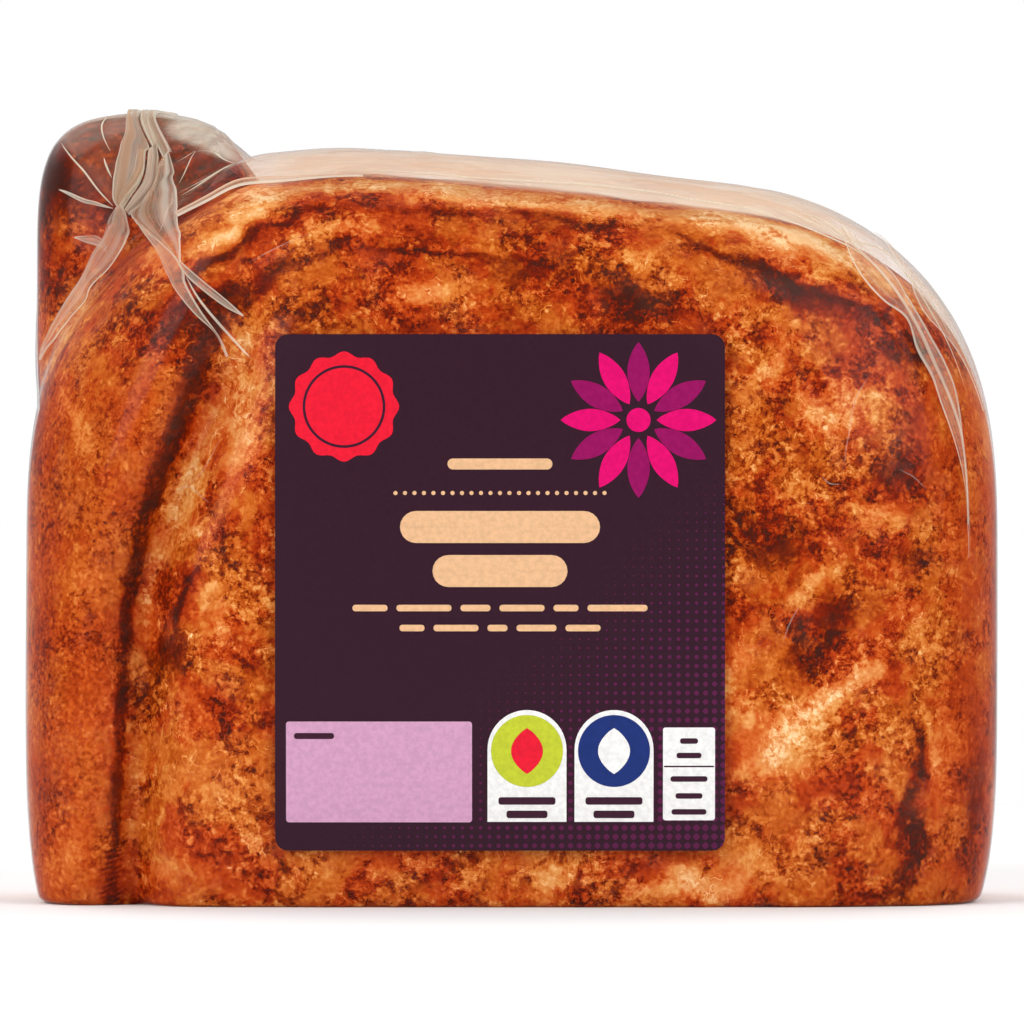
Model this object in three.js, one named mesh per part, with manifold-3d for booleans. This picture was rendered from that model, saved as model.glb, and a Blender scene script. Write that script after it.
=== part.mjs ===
// A glazed ham joint sealed in a clear film bag, with a rectangular label stuck to its front.
//
// The joint was cut flat underneath and stands on that cut. Its front is a broad, slightly crowned
// face. A fold of rind lies along the left edge as an upright roll, with a deep crease beside it,
// and a lobe of meat stands up behind the roll's shoulder. The bag is gathered into a knot between
// the roll and the lobe: a fan of pleats rises from it over the lobe, strands run down from it, and
// slack film lies in long folds round the right shoulder.
//
// Units are millimetres. +Z is up, -Y is the labelled front, and the origin is on the resting face,
// under the middle of the joint.
import * as THREE from "three";
import { mergeVertices } from "three/addons/utils/BufferGeometryUtils.js";
import Module from "manifold-3d";

const wasm = await Module();
wasm.setup();

// ---------- driving dimensions ----------

// The joint's main body: an upright, rounded block whose outline is seen from the front.
const HALF_WIDTH = 99.4;
const HALF_DEPTH = 52;
const MIDDLE_HEIGHT = 72; // height of its widest level
const SHOULDER_RISE = 79.3; // from the widest level to the top
const TOP_SWELLS = [
  { height: 5.2, at: -48, spread: 34 }, // the top stands highest left of the middle
  { height: -2, at: 34, spread: 20 }, // and sinks a little right of it
];
const SKIRT_DROP = 94; // how far the sides would run on below the widest level, if not cut flat
const POWER = { shoulder: 2.8, skirt: 6, face: 4, back: 3 }; // higher is squarer
const BODY_SCALE = 70; // turns the body's ratio into rough millimetres
const FOOT_ROUNDING = 0.024; // share of the height that the resting edge is rounded over

// The lobe of meat behind the left shoulder.
const LOBE_CENTRE = new THREE.Vector3(-76, 19, 129.5);
const LOBE_RADII = new THREE.Vector3(22.4, 30, 31.8);
const LOBE_POWER = 3.7;
const LOBE_SCALE = 28;
const LOBE_BLEND = 8; // how softly the film bridges from the lobe to the body

// The crease beside the roll: nearly upright below, leaning to the right above its bend.
const CREASE = { footX: -79.6, lean: 0.045, bendHeight: 66, bendLean: 0.37, bendSoftness: 4 };
const CREASE_DEPTH = 8.5;
const CREASE_SIDES = { left: 4.6, right: 8 };
const CREASE_FADE = { from: 98, to: 126 };
const ROLL = { swell: 2, inset: 12, spread: 7 };
const FRONT_BAND = { from: 0, to: -30 }; // depth over which the front's relief fades in

// The label.
const LABEL = { width: 90, height: 103.4, corner: 2.5, thickness: 0.4, x: -2.4, z: 63.3 };
const LABEL_GAP = 0.35;
const LABEL_STEPS = { across: 10, up: 12, corner: 6 };

// Where the surface is sampled. Columns crowd together at the crease and rows at the foot.
const COLUMNS = 92;
const ROWS = 43;
const COLUMN_CROWDING = 0.66;
const ROW_CROWDING = 0.58;
const CREASE_FRONT = 46; // how far in front of the middle the crease lies
const CREASE_ROUNDS = 5; // rounds of working out where a ray meets the crease
const FOOT_MARGIN = 0.075; // how far inside the resting edge the last ring lies, as a share
const FOOT_HUB = new THREE.Vector3(-45, 0, 0); // where the resting face's triangles meet
const SEARCH = { furthest: 3, halvings: 30 }; // a ray is searched up to this many times its length
const SLOPE_STEP = 0.05; // distance over which a form's slope is measured
const MERGE_DISTANCE = 1e-4;

// The film's gather, and its folds. Each fold runs over the bag's surface through guide points,
// which are [x, z] for a point on the front face and [x, y, z] elsewhere. A width and a height are
// given at the start, the middle and the end of the run.
const KNOT = { centre: [-77.6, -15, 139.6], radii: [4.6, 6, 5.4], sides: 16, rings: 10 };
const FOLD_STEPS_PER_GUIDE = 4;
const FOLD_SINK = 1.6; // how deep a fold's underside lies below the surface
const FLANK = 0.15; // height of the valleys between pleats, as a share of the pleats'
const FOLDS = [
  // fan over the lobe
  {
    guides: [KNOT.centre, [-76.6, -8, 151], [-75, 6, 160], [-74, 26, 160]],
    width: [4, 10, 13],
    height: [3, 1.6, 0.9],
    pleats: 3,
  },
  // veil beside the fan
  {
    guides: [[-70, 4, 160], [-67.4, -10, 148], [-66.3, -30, 136], [-65.4, -38, 128]],
    width: [8, 6, 2.4],
    height: [0.9, 1.2, 0.7],
    pleats: 2,
  },
  // strand to the crease
  {
    guides: [KNOT.centre, [-70.5, 131], [-66, 123], [-59.4, 115.6], [-57.4, 110.4]],
    width: [4, 5, 1.6],
    height: [3, 1.4, 0.7],
    pleats: 2,
  },
  // side strand
  {
    guides: [[-65.3, 128], [-60.4, 122], [-54.2, 118.6]],
    width: [2, 1.8, 1.2],
    height: [0.8, 0.9, 0.6],
    pleats: 1,
  },
  // strand down the roll's shoulder
  {
    guides: [KNOT.centre, [-82.4, -25, 130], [-86.5, -27, 123], [-91.5, -24, 117], [-96, -18, 106]],
    width: [4, 4.6, 2],
    height: [3, 1.6, 0.8],
    pleats: 2,
  },
  // crease to the lobe's corner
  {
    guides: [KNOT.centre, [-84, -9, 146], [-91.5, 0, 154]],
    width: [3, 1.8, 1.4],
    height: [2, 0.9, 0.6],
    pleats: 1,
  },
  // crease over the left of the top
  {
    guides: [[-70, -26, 140], [-60, -24, 145], [-48, -16, 150]],
    width: [3, 2, 1.4],
    height: [1.4, 0.9, 0.6],
    pleats: 1,
  },
  // long fold of the right shoulder
  {
    guides: [[65, 136], [76.6, 119.4], [84.4, 105.4], [88.4, 93], [90.6, 81], [91.2, 66]],
    width: [2.4, 4.6, 1.4],
    height: [0.7, 1.3, 0.6],
    pleats: 2,
  },
  // short fold of the right shoulder
  {
    guides: [[73.8, 133], [79.4, 127], [83.4, 118.5], [86.8, 109.6], [89.6, 99]],
    width: [1.6, 2.6, 1.4],
    height: [0.6, 1, 0.6],
    pleats: 1,
  },
];

// ---------- the bag's surface ----------

// A value that is 0 before start, 1 past end and smooth between them.
function ramp(value, start, end) {
  return THREE.MathUtils.smoothstep((value - start) / (end - start), 0, 1);
}

// A smooth bump, 1 high at zero and fading away on both sides.
function bump(value) {
  return Math.exp(-(value ** 2));
}

// The lesser of two values, with the corner where they cross rounded off.
function softUnion(a, b, softness) {
  const share = Math.max(softness - Math.abs(a - b), 0) / softness;
  return Math.min(a, b) - (share * share * softness) / 4;
}

function superLength(values, power) {
  return Math.pow(values.reduce((sum, v) => sum + Math.pow(Math.abs(v), power), 0), 1 / power);
}

// Each form is negative inside, zero on its surface and positive outside.
function bodyForm(p) {
  const up = p.z - MIDDLE_HEIGHT;
  const swell = ({ height, at, spread }) => height * bump((p.x - at) / spread);
  const rise = TOP_SWELLS.reduce((sum, s) => sum + swell(s), SHOULDER_RISE);
  const reach = up > 0 ? up / rise : up / SKIRT_DROP;
  const outline = superLength([p.x / HALF_WIDTH, reach], up > 0 ? POWER.shoulder : POWER.skirt);
  const depth = p.y / HALF_DEPTH;
  return (superLength([outline, depth], p.y < 0 ? POWER.face : POWER.back) - 1) * BODY_SCALE;
}

function lobeForm(p) {
  const q = p.clone().sub(LOBE_CENTRE).divide(LOBE_RADII);
  return (superLength(q.toArray(), LOBE_POWER) - 1) * LOBE_SCALE;
}

function bagForm(p) {
  return softUnion(bodyForm(p), lobeForm(p), LOBE_BLEND);
}

function creaseX(z) {
  const past = (z - CREASE.bendHeight) / CREASE.bendSoftness;
  const bend = CREASE.bendSoftness * Math.log1p(Math.exp(past));
  return CREASE.footX + CREASE.lean * z + CREASE.bendLean * bend;
}

// How far the roll stands out of the plain form, less how far the crease sinks into it.
function frontRelief(p) {
  const beside = p.x - creaseX(p.z);
  const side = beside < 0 ? CREASE_SIDES.left : CREASE_SIDES.right;
  const depth = CREASE_DEPTH * (1 - ramp(p.z, CREASE_FADE.from, CREASE_FADE.to));
  const crease = depth * bump(beside / side);
  const roll = ROLL.swell * bump((beside + ROLL.inset) / ROLL.spread);
  return (roll - crease) * ramp(p.y, FRONT_BAND.from, FRONT_BAND.to);
}

// The direction straight out of the plain form at a point.
function outward(p) {
  const slope = (x, y, z) => {
    const step = new THREE.Vector3(x, y, z).multiplyScalar(SLOPE_STEP);
    return bagForm(p.clone().add(step)) - bagForm(p.clone().sub(step));
  };
  return new THREE.Vector3(slope(1, 0, 0), slope(0, 1, 0), slope(0, 0, 1)).normalize();
}

const MIDDLE = new THREE.Vector3(0, 0, MIDDLE_HEIGHT);

// The point where a ray that starts inside the plain form leaves it.
function exitPoint(start, direction) {
  let inside = 0;
  let outside = SEARCH.furthest;
  for (let i = 0; i < SEARCH.halvings; i++) {
    const half = (inside + outside) / 2;
    if (bagForm(start.clone().addScaledVector(direction, half)) < 0) inside = half;
    else outside = half;
  }
  return start.clone().addScaledVector(direction, inside);
}

// The cut underneath draws a point straight towards the middle until it lies on the resting face.
function cutFlat(p) {
  const toFace = p.z < MIDDLE_HEIGHT ? MIDDLE_HEIGHT / (MIDDLE_HEIGHT - p.z) : Infinity;
  if (toFace > 1 + FOOT_ROUNDING) return p;
  const ray = p.clone().sub(MIDDLE);
  const cut = MIDDLE.clone().addScaledVector(ray, softUnion(1, toFace, FOOT_ROUNDING));
  if (toFace <= 1 - FOOT_ROUNDING) cut.z = 0;
  return cut;
}

function surfacePoint(target) {
  const plain = exitPoint(MIDDLE, target.clone().sub(MIDDLE).setLength(HALF_WIDTH));
  return cutFlat(plain.addScaledVector(outward(plain), frontRelief(plain)));
}

// How far the plain form's front lies from the middle plane; negative, as the front faces -Y.
function frontDepth(x, z) {
  return exitPoint(new THREE.Vector3(x, 0, z), new THREE.Vector3(0, -HALF_DEPTH, 0)).y;
}

// ---------- meshes and solids ----------

function solidFromGeometry(geometry) {
  const bare = new THREE.BufferGeometry();
  bare.setAttribute("position", geometry.getAttribute("position"));
  if (geometry.index) bare.setIndex(geometry.index);
  const merged = mergeVertices(bare, MERGE_DISTANCE);
  const triVerts = new Uint32Array(merged.index.array);
  const vertProperties = new Float32Array(merged.getAttribute("position").array);
  return new wasm.Manifold(new wasm.Mesh({ numProp: 3, vertProperties, triVerts }));
}

function geometryFromSolid(solid) {
  const mesh = solid.getMesh();
  const geometry = new THREE.BufferGeometry();
  geometry.setAttribute("position", new THREE.BufferAttribute(mesh.vertProperties, 3));
  geometry.setIndex(new THREE.BufferAttribute(mesh.triVerts, 1));
  geometry.computeVertexNormals();
  return geometry;
}

// The angle down from the top at which the last ring lies just inside the resting edge.
function footAngle(x, y) {
  const side = new THREE.Vector3(x, y, 0).setLength(HALF_WIDTH);
  const edge = exitPoint(new THREE.Vector3(), side);
  return Math.PI - Math.atan((edge.length() * (1 - FOOT_MARGIN)) / MIDDLE_HEIGHT);
}

// The direction, seen from above, in which the crease lies on a ray this far down from the top.
function creaseAngle(down) {
  let z = MIDDLE_HEIGHT;
  for (let i = 0; i < CREASE_ROUNDS; i++) {
    const reach = Math.hypot(creaseX(z), CREASE_FRONT);
    z = THREE.MathUtils.clamp(MIDDLE_HEIGHT + reach / Math.tan(down), 0, CREASE_FADE.to);
  }
  return Math.atan2(CREASE_FRONT, -creaseX(z));
}

// A globe with every vertex drawn out to the bag's surface. Its seam runs down the crease. Its
// lowest ring follows the resting edge, so that the fan of triangles below is the flat face; the
// hub of that fan stands where it sees into the crease.
function jointGeometry() {
  const globe = new THREE.SphereGeometry(1, COLUMNS, ROWS);
  const vertices = globe.getAttribute("position");
  const creaseFoot = footAngle(creaseX(0), -CREASE_FRONT);
  for (let i = 0; i < vertices.count; i++) {
    const turn = (2 * Math.PI * (i % (COLUMNS + 1))) / COLUMNS;
    const row = Math.floor(i / (COLUMNS + 1)) / (ROWS - 1);
    const fall = row * (1 + ROW_CROWDING * (1 - row));
    const crease = creaseAngle(Math.max(fall, 1 / ROWS) * creaseFoot);
    const angle = crease + turn - COLUMN_CROWDING * Math.sin(turn);
    const side = new THREE.Vector3(-Math.cos(angle), -Math.sin(angle), 0);
    const down = fall * footAngle(side.x, side.y);
    const ray = side.multiplyScalar(Math.sin(down)).setZ(Math.cos(down));
    const p = row > 1 ? FOOT_HUB : surfacePoint(ray.add(MIDDLE));
    vertices.setXYZ(i, ...p.toArray());
  }
  return globe;
}

// A length along a fold, from its values at the start, the middle and the end.
function along([start, middle, end], t) {
  return t < 0.5
    ? THREE.MathUtils.lerp(start, middle, 2 * t)
    : THREE.MathUtils.lerp(middle, end, 2 * t - 1);
}

function guidePoint(guide) {
  if (guide.length === 3) return new THREE.Vector3(...guide);
  const [x, z] = guide;
  return new THREE.Vector3(x, frontDepth(x, z), z);
}

// A pleated strip of film: a bar bent along its guide points, whose upper side stands over the
// surface in ridges and whose underside lies inside the joint.
function foldGeometry({ guides, width, height, pleats }) {
  const path = new THREE.CatmullRomCurve3(guides.map(guidePoint));
  const steps = (guides.length - 1) * FOLD_STEPS_PER_GUIDE;
  const sides = 2 * pleats;
  const bar = new THREE.BoxGeometry(1, 1, 1, sides, 1, steps);
  const vertices = bar.getAttribute("position");
  for (let i = 0; i < vertices.count; i++) {
    const side = Math.round((vertices.getX(i) + 0.5) * sides);
    const t = Math.round((0.5 - vertices.getZ(i)) * steps) / steps;
    const middle = surfacePoint(path.getPoint(t));
    const normal = outward(middle);
    const across = new THREE.Vector3().crossVectors(path.getTangent(t), normal).normalize();
    const foot = surfacePoint(middle.addScaledVector(across, (side / sides - 0.5) * along(width, t)));
    const ridge = along(height, t) * (side % 2 ? 1 : FLANK);
    foot.addScaledVector(normal, vertices.getY(i) > 0 ? ridge : -FOLD_SINK);
    vertices.setXYZ(i, ...foot.toArray());
  }
  return bar;
}

function makeBaggedHam() {
  const knot = new THREE.SphereGeometry(1, KNOT.sides, KNOT.rings);
  knot.scale(...KNOT.radii).translate(...KNOT.centre);
  const joint = solidFromGeometry(jointGeometry()).add(solidFromGeometry(knot));
  return FOLDS.reduce((bag, fold) => bag.add(solidFromGeometry(foldGeometry(fold))), joint);
}

// The label is a thin plate bent over the front, trimmed to a rectangle with round corners.
function makeLabel() {
  const { width, height, thickness, x, z } = LABEL;
  const { across, up } = LABEL_STEPS;
  const plate = new THREE.BoxGeometry(width, thickness, height, across, 1, up);
  plate.translate(x, -LABEL_GAP - thickness / 2, z);
  const vertices = plate.getAttribute("position");
  for (let i = 0; i < vertices.count; i++) {
    vertices.setY(i, vertices.getY(i) + frontDepth(vertices.getX(i), vertices.getZ(i)));
  }
  return solidFromGeometry(plate).intersect(labelTrim());
}

function labelTrim() {
  const w = LABEL.width / 2;
  const h = LABEL.height / 2;
  const r = LABEL.corner;
  const outline = new THREE.Shape();
  outline.absarc(w - r, h - r, r, 0, Math.PI / 2);
  outline.absarc(r - w, h - r, r, Math.PI / 2, Math.PI);
  outline.absarc(r - w, r - h, r, Math.PI, 1.5 * Math.PI);
  outline.absarc(w - r, r - h, r, 1.5 * Math.PI, 2 * Math.PI);
  const block = new THREE.ExtrudeGeometry(outline, {
    depth: 2 * HALF_DEPTH,
    bevelEnabled: false,
    curveSegments: LABEL_STEPS.corner,
  });
  block.rotateX(Math.PI / 2).translate(LABEL.x, 0, LABEL.z);
  return solidFromGeometry(block);
}

function node(name, solid, material) {
  const mesh = new THREE.Mesh(geometryFromSolid(solid), material);
  mesh.name = name;
  return mesh;
}

const glazedHamInFilm = new THREE.MeshStandardMaterial({ color: 0xb24d20, roughness: 0.3, metalness: 0 });
const plumPaper = new THREE.MeshStandardMaterial({ color: 0x3a1f2d, roughness: 0.5, metalness: 0 });

const pack = new THREE.Group();
pack.add(node("bagged_ham", makeBaggedHam(), glazedHamInFilm));
pack.add(node("label", makeLabel(), plumPaper));

export default pack;
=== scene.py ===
# %% [markdown]
# # A glazed ham in its film bag
#
# The real thing is a boneless joint of ham, roasted under a sweet glaze, cut flat so that it
# stands, and sealed in a clear film bag that shrinks tight round it. A label is stuck on the
# front. Four things make the look: the mottled glaze, the film's gloss and its milky edges, the
# pleats where the film is gathered, and the printed label. Each gets its own cells below.
#
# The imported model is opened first. It fixes the size and the place of everything that follows.

import math
from collections import namedtuple

import bpy
import numpy as np
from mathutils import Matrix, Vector, noise


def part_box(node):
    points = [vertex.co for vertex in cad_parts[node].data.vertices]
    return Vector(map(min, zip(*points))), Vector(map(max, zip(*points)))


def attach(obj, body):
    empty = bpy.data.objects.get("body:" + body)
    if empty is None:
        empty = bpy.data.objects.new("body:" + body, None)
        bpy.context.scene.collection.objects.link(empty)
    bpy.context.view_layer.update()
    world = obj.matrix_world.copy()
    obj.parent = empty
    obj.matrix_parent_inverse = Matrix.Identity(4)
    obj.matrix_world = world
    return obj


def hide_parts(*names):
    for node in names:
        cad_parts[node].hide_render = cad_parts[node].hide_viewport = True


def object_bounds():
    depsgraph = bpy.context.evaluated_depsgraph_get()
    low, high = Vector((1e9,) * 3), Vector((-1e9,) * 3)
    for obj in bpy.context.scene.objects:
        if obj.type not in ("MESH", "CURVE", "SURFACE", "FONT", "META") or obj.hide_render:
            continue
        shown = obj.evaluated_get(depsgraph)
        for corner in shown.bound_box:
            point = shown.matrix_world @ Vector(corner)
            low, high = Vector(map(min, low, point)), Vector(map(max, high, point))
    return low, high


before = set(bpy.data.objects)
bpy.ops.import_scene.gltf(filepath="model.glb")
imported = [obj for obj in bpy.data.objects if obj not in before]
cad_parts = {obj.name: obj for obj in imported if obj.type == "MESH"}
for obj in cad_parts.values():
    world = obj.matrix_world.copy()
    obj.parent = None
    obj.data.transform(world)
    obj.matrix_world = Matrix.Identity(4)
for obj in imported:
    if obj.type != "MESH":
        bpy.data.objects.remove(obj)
cad_low, cad_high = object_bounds()
MM = 0.001  # lengths below are in millimetres, and Blender's are in metres
print("solids:", sorted(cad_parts), "size in mm:", [round(v / MM, 1) for v in cad_high - cad_low])

# %% [markdown]
# ## Camera and studio
#
# A pack shot is taken level with the middle of the pack, from far away with a long lens, so that
# upright edges stay upright. A wide lens close by would bulge the front. The label's plane is the
# one that is framed: 1024 units of 0.2 mm across.

# %% Camera
FRAME_WIDTH = 204.8  # what the render shows in the plane of the pack's front
FRONT_PLANE = -52
CAMERA_HEIGHT = 79.4
CAMERA_DISTANCE = 1800
SENSOR = 36

camera = bpy.data.objects.new("camera", bpy.data.cameras.new("camera"))
bpy.context.collection.objects.link(camera)
camera.location = Vector((0, FRONT_PLANE - CAMERA_DISTANCE, CAMERA_HEIGHT)) * MM
camera.rotation_euler = (math.pi / 2, 0, 0)
camera.data.sensor_width = SENSOR
camera.data.lens = SENSOR * CAMERA_DISTANCE / FRAME_WIDTH
camera.data.clip_end = 20
bpy.context.scene.camera = camera
print("lens in mm:", round(camera.data.lens, 1))

# %% [markdown]
# Soft boxes stand at the four corners, above the pack. A glossy flat front then mirrors only the
# dark room beside the camera, which keeps the glaze's colours deep, while every rounded edge
# finds a soft box and shines. The walls behind are white, so film seen edge on looks milky.

# %% Lights
LIGHTS = [  # direction round the pack, height above the horizon, watts, width and height in metres
    ("key", -44, 27, 12.5, 0.9, 0.9),
    ("fill", 44, 25, 10.5, 0.9, 0.9),
    ("back_left", -138, 36, 3.5, 0.8, 0.8),
    ("back_right", 138, 36, 3.5, 0.8, 0.8),
    ("top", 180, 84, 4.5, 0.9, 0.9),
]
LIGHT_DISTANCE = 1.3
AIM = Vector((0, 0, 0.07))

for name, turn, rise, watts, width, height in LIGHTS:
    a, e = math.radians(turn), math.radians(rise)
    away = Vector((math.sin(a) * math.cos(e), -math.cos(a) * math.cos(e), math.sin(e)))
    lamp = bpy.data.objects.new(name, bpy.data.lights.new(name, "AREA"))
    lamp.data.energy = watts
    lamp.data.shape = "RECTANGLE"
    lamp.data.size, lamp.data.size_y = width, height
    lamp.location = AIM + away * LIGHT_DISTANCE
    lamp.rotation_euler = (-away).to_track_quat("-Z", "Y").to_euler()
    bpy.context.collection.objects.link(lamp)

bpy.context.scene.view_settings.view_transform = "Standard"
bpy.context.scene.cycles.transparent_max_bounces = 24  # many layers of film lie behind each other
print("lights:", len(LIGHTS))

# %% [markdown]
# ## Arithmetic on sockets
#
# A shader is mostly arithmetic, and arithmetic reads best as an expression. `Wire` holds one
# output socket and adds a Math node for each operator. Drawing the nodes by hand in the shader
# editor gives the same result, but a sum of ten terms is then a screen full of boxes.

# %% Wires
class Wire:
    """One output socket of a node tree, on which arithmetic adds Math nodes."""

    def __init__(self, paint, socket):
        self.paint = paint
        self.socket = socket

    def maths(self, operation, *others):
        """This wire and others in a Math node."""
        values = dict(enumerate([self, *others]))
        return self.paint.node("Math", {"operation": operation}, values)

    def __add__(self, other):
        return self.maths("ADD", other)

    def __sub__(self, other):
        return self.maths("SUBTRACT", other)

    def __mul__(self, other):
        return self.maths("MULTIPLY", other)

    def __pow__(self, other):
        return self.maths("POWER", other)

    def __rsub__(self, other):
        return self * -1 + other

    __radd__ = __add__
    __rmul__ = __mul__


print("sums, differences, products and powers of wires are ready")

# %% [markdown]
# `Paint` holds a node tree and adds any other node: its settings are set first, then the values
# or the links of its inputs. A wire knows its paint, so a helper that is given a wire needs
# nothing else.

# %% Paints
class Paint:
    """A node tree and the one method that adds nodes to it."""

    def __init__(self, owner):
        owner.use_nodes = True
        self.tree = owner.node_tree
        self.tree.nodes.clear()

    def node(self, kind, settings=None, values=None, out=0):
        """Adds a node and gives the wire at one of its outputs."""
        node = self.tree.nodes.new("ShaderNode" + kind)
        for key, setting in (settings or {}).items():
            if key == "stops":
                set_stops(node.color_ramp, setting)
            else:
                setattr(node, key, setting)
        for key, value in (values or {}).items():
            if isinstance(value, Wire):
                self.tree.links.new(value.socket, node.inputs[key])
            else:
                node.inputs[key].default_value = value
        return Wire(self, node.outputs[out]) if node.outputs else node


def set_stops(ramp, stops):
    """Gives a colour ramp its stops: pairs of a place and a colour."""
    ramp.elements.remove(ramp.elements[1])
    for i, (place, colour) in enumerate(stops):
        element = ramp.elements.new(place) if i else ramp.elements[0]
        element.position = place
        element.color = (*colour, 1)


def new_paint(name):
    """An empty material of this name, ready to be painted."""
    return Paint(bpy.data.materials.new(name))


print("materials so far:", len(bpy.data.materials))

# %% [markdown]
# The materials below repeat a few moves: name a colour as a screen shows it, scale a vector, mix
# two colours, fade between two limits, and look up noise at a size in millimetres. Each move is a
# function, so that a material reads like the list of what an eye sees on it.

# %% Small helpers for colours, vectors and masks
def screen(red, green, blue):
    """A colour as a screen counts it, 0 to 255, in the linear values that a shader works with."""
    shares = [v / 255 for v in (red, green, blue)]
    return tuple(v / 12.92 if v < 0.04045 else ((v + 0.055) / 1.055) ** 2.4 for v in shares)


def vector_maths(operation, vector, other):
    """Arithmetic on whole vectors."""
    return vector.paint.node("VectorMath", {"operation": operation}, {0: vector, 1: other})


def scaled(vector, amount):
    """A vector made longer or shorter."""
    return vector.paint.node("VectorMath", {"operation": "SCALE"}, {0: vector, "Scale": amount})


def blend(share, first, second):
    """A mix of two colours."""
    fields = [v if isinstance(v, Wire) else (*v, 1) for v in (first, second)]
    values = {0: share, 6: fields[0], 7: fields[1]}
    return share.paint.node("Mix", {"data_type": "RGBA"}, values, out=2)


def fade(value, start, end):
    """0 below start, 1 past end, smooth between them."""
    settings = {"interpolation_type": "SMOOTHSTEP"}
    return value.paint.node("MapRange", settings, {0: value, 1: start, 2: end, 3: 0, 4: 1})


def place(paint):
    """The point that is being shaded, in millimetres."""
    point = paint.node("TexCoord", out=3)
    return scaled(point, 1 / MM)


def spots(point, size, detail=2.0, rough=0.5, out=0):
    """Soft noise whose largest lumps are this many millimetres across."""
    values = {"Vector": point, "Scale": 1 / size, "Detail": detail, "Roughness": rough}
    return point.paint.node("TexNoise", {}, values, out=out)


def part(vector, axis):
    """One of a vector's three numbers."""
    return vector.paint.node("SeparateXYZ", {}, {0: vector}, out=axis)


def named(paint, name, out="Fac"):
    """A value that the mesh carries for each of its corners."""
    return paint.node("Attribute", {"attribute_name": name}, {}, out=out)


def finish_surface(paint, shader):
    """Makes a shader the material's surface."""
    paint.node("OutputMaterial", {}, {"Surface": shader})


print("helpers ready; a mid orange is", [round(v, 3) for v in screen(183, 76, 31)])

# %% [markdown]
# ## The room
#
# The room is white where the camera looks at it directly. For light and mirror images it is
# bright behind the pack and dark beside the camera, as in a studio with one white wall.

# %% The room
ROOM_DARK = 0.12
ROOM_BRIGHT = 0.75
WALL_STARTS, WALL_ENDS = -0.25, 0.55  # how far round to the back the white wall begins and is full

world = bpy.data.worlds.new("studio")
bpy.context.scene.world = world
room = Paint(world)
direction = room.node("TexCoord", out=0)
wall = fade(part(direction, "Y"), WALL_STARTS, WALL_ENDS)
brightness = wall * (ROOM_BRIGHT - ROOM_DARK) + ROOM_DARK
seen = room.node("LightPath", out=0)
strength = seen * (1 - brightness) + brightness
white_room = room.node("Background", {}, {"Color": (1, 1, 1, 1), "Strength": strength})
room.node("OutputWorld", {}, {"Surface": white_room})
print("the room's brightness runs from", ROOM_DARK, "to", ROOM_BRIGHT)

# %% [markdown]
# The floor is a wide round table top. It is a mesh disc with a soft unevenness in its white, so
# that the pack's shadow has something real to fall on.

# %% Floor
FLOOR_RADIUS = 620
FLOOR_SIDES = 128
CLOUDS_ACROSS = 90
FLOOR_WHITES = (0.86, 0.86, 0.86), (0.9, 0.9, 0.9)
FLOOR_ROUGH, FLOOR_SHINE = 0.8, 0.1


def finish_skin(paint, colour, roughness, shine, relief=None):
    """An opaque skin: its colour, its roughness, how much it mirrors, and its relief."""
    values = {"Base Color": colour, "Roughness": roughness, "Specular IOR Level": shine}
    if relief:
        values["Normal"] = relief
    finish_surface(paint, paint.node("BsdfPrincipled", {}, values))


ring = np.linspace(0, 2 * math.pi, FLOOR_SIDES, endpoint=False)
rim = np.stack([np.cos(ring), np.sin(ring), 0 * ring], -1) * FLOOR_RADIUS * MM
table_mesh = bpy.data.meshes.new("floor")
table_mesh.from_pydata(rim.tolist(), [], [list(range(FLOOR_SIDES))])
floor = bpy.data.objects.new("floor", table_mesh)
bpy.context.collection.objects.link(floor)
paint = new_paint("pale_table")
cloudy = spots(place(paint), CLOUDS_ACROSS, 3)
finish_skin(paint, blend(cloudy, *FLOOR_WHITES), FLOOR_ROUGH, FLOOR_SHINE)
floor.data.materials.append(bpy.data.materials["pale_table"])
print("the floor is", 2 * FLOOR_RADIUS, "mm across")

# %% [markdown]
# ## The bag's form
#
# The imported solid's surface is a formula: a rounded upright block, squarer below than above, with
# a lobe of meat blended on behind the left shoulder, a roll and a crease down the left of the
# front, and a flat cut underneath. The same formula with the same sizes is written here for whole
# arrays of points at once, so the film and the meat can be laid on it with as many points as
# they need. `Envelope` holds the sizes that differ between the film and the meat inside it.

# %% Sizes of the forms
MIDDLE = np.array([0, 0, 72.0])  # on the widest level
TOP_SWELLS = [(5.2, -48, 34), (-2, 34, 20)]  # height, place along x, spread
SKIRT_DROP = 94
BODY_SCALE = 70
FOOT_ROUNDING = 0.024
LOBE_CENTRE = np.array([-76, 19, 129.5])
LOBE_POWER, LOBE_SCALE, LOBE_BLEND = 3.7, 28, 8
DOME_SPREAD = 9  # the film rises over the lobe to where it is gathered
CREASE_FOOT, CREASE_LEAN, CREASE_BEND, CREASE_BEND_LEAN, CREASE_SOFTNESS = -79.6, 0.045, 66, 0.37, 4
CREASE_FADE = (98, 126)
CREASE_LEFT, CREASE_RIGHT = 4.6, 8
ROLL_SWELL, ROLL_INSET, ROLL_SPREAD = 2, 12, 7
FRONT_BAND = (0, -30)

Envelope = namedtuple("Envelope", "half_width half_depth rise lobe dome crease_depth")
FILM = Envelope(99.4, 52, 79.3, (22.4, 30, 31.8), 0.9, 7.5)
MEAT = Envelope(99.3, 51.7, 74.2, (22.4, 29.8, 31.4), 0.8, 9.2)
print("film stands off the top by about", round(FILM.rise - MEAT.rise, 1), "mm")

# %% [markdown]
# The formula gives each point a number: below zero inside the form, zero on it, above zero
# outside. Rounded blocks are sums of powers, and a soft union joins two forms without a seam.
# Metaballs could melt forms together too, but not with corners as square as a pressed joint's.

# %% The formula
def ramp(value, start, end):
    """0 up to start, 1 from end on, smooth between them."""
    t = np.clip((value - start) / (end - start), 0, 1)
    return t * t * (3 - 2 * t)


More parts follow.
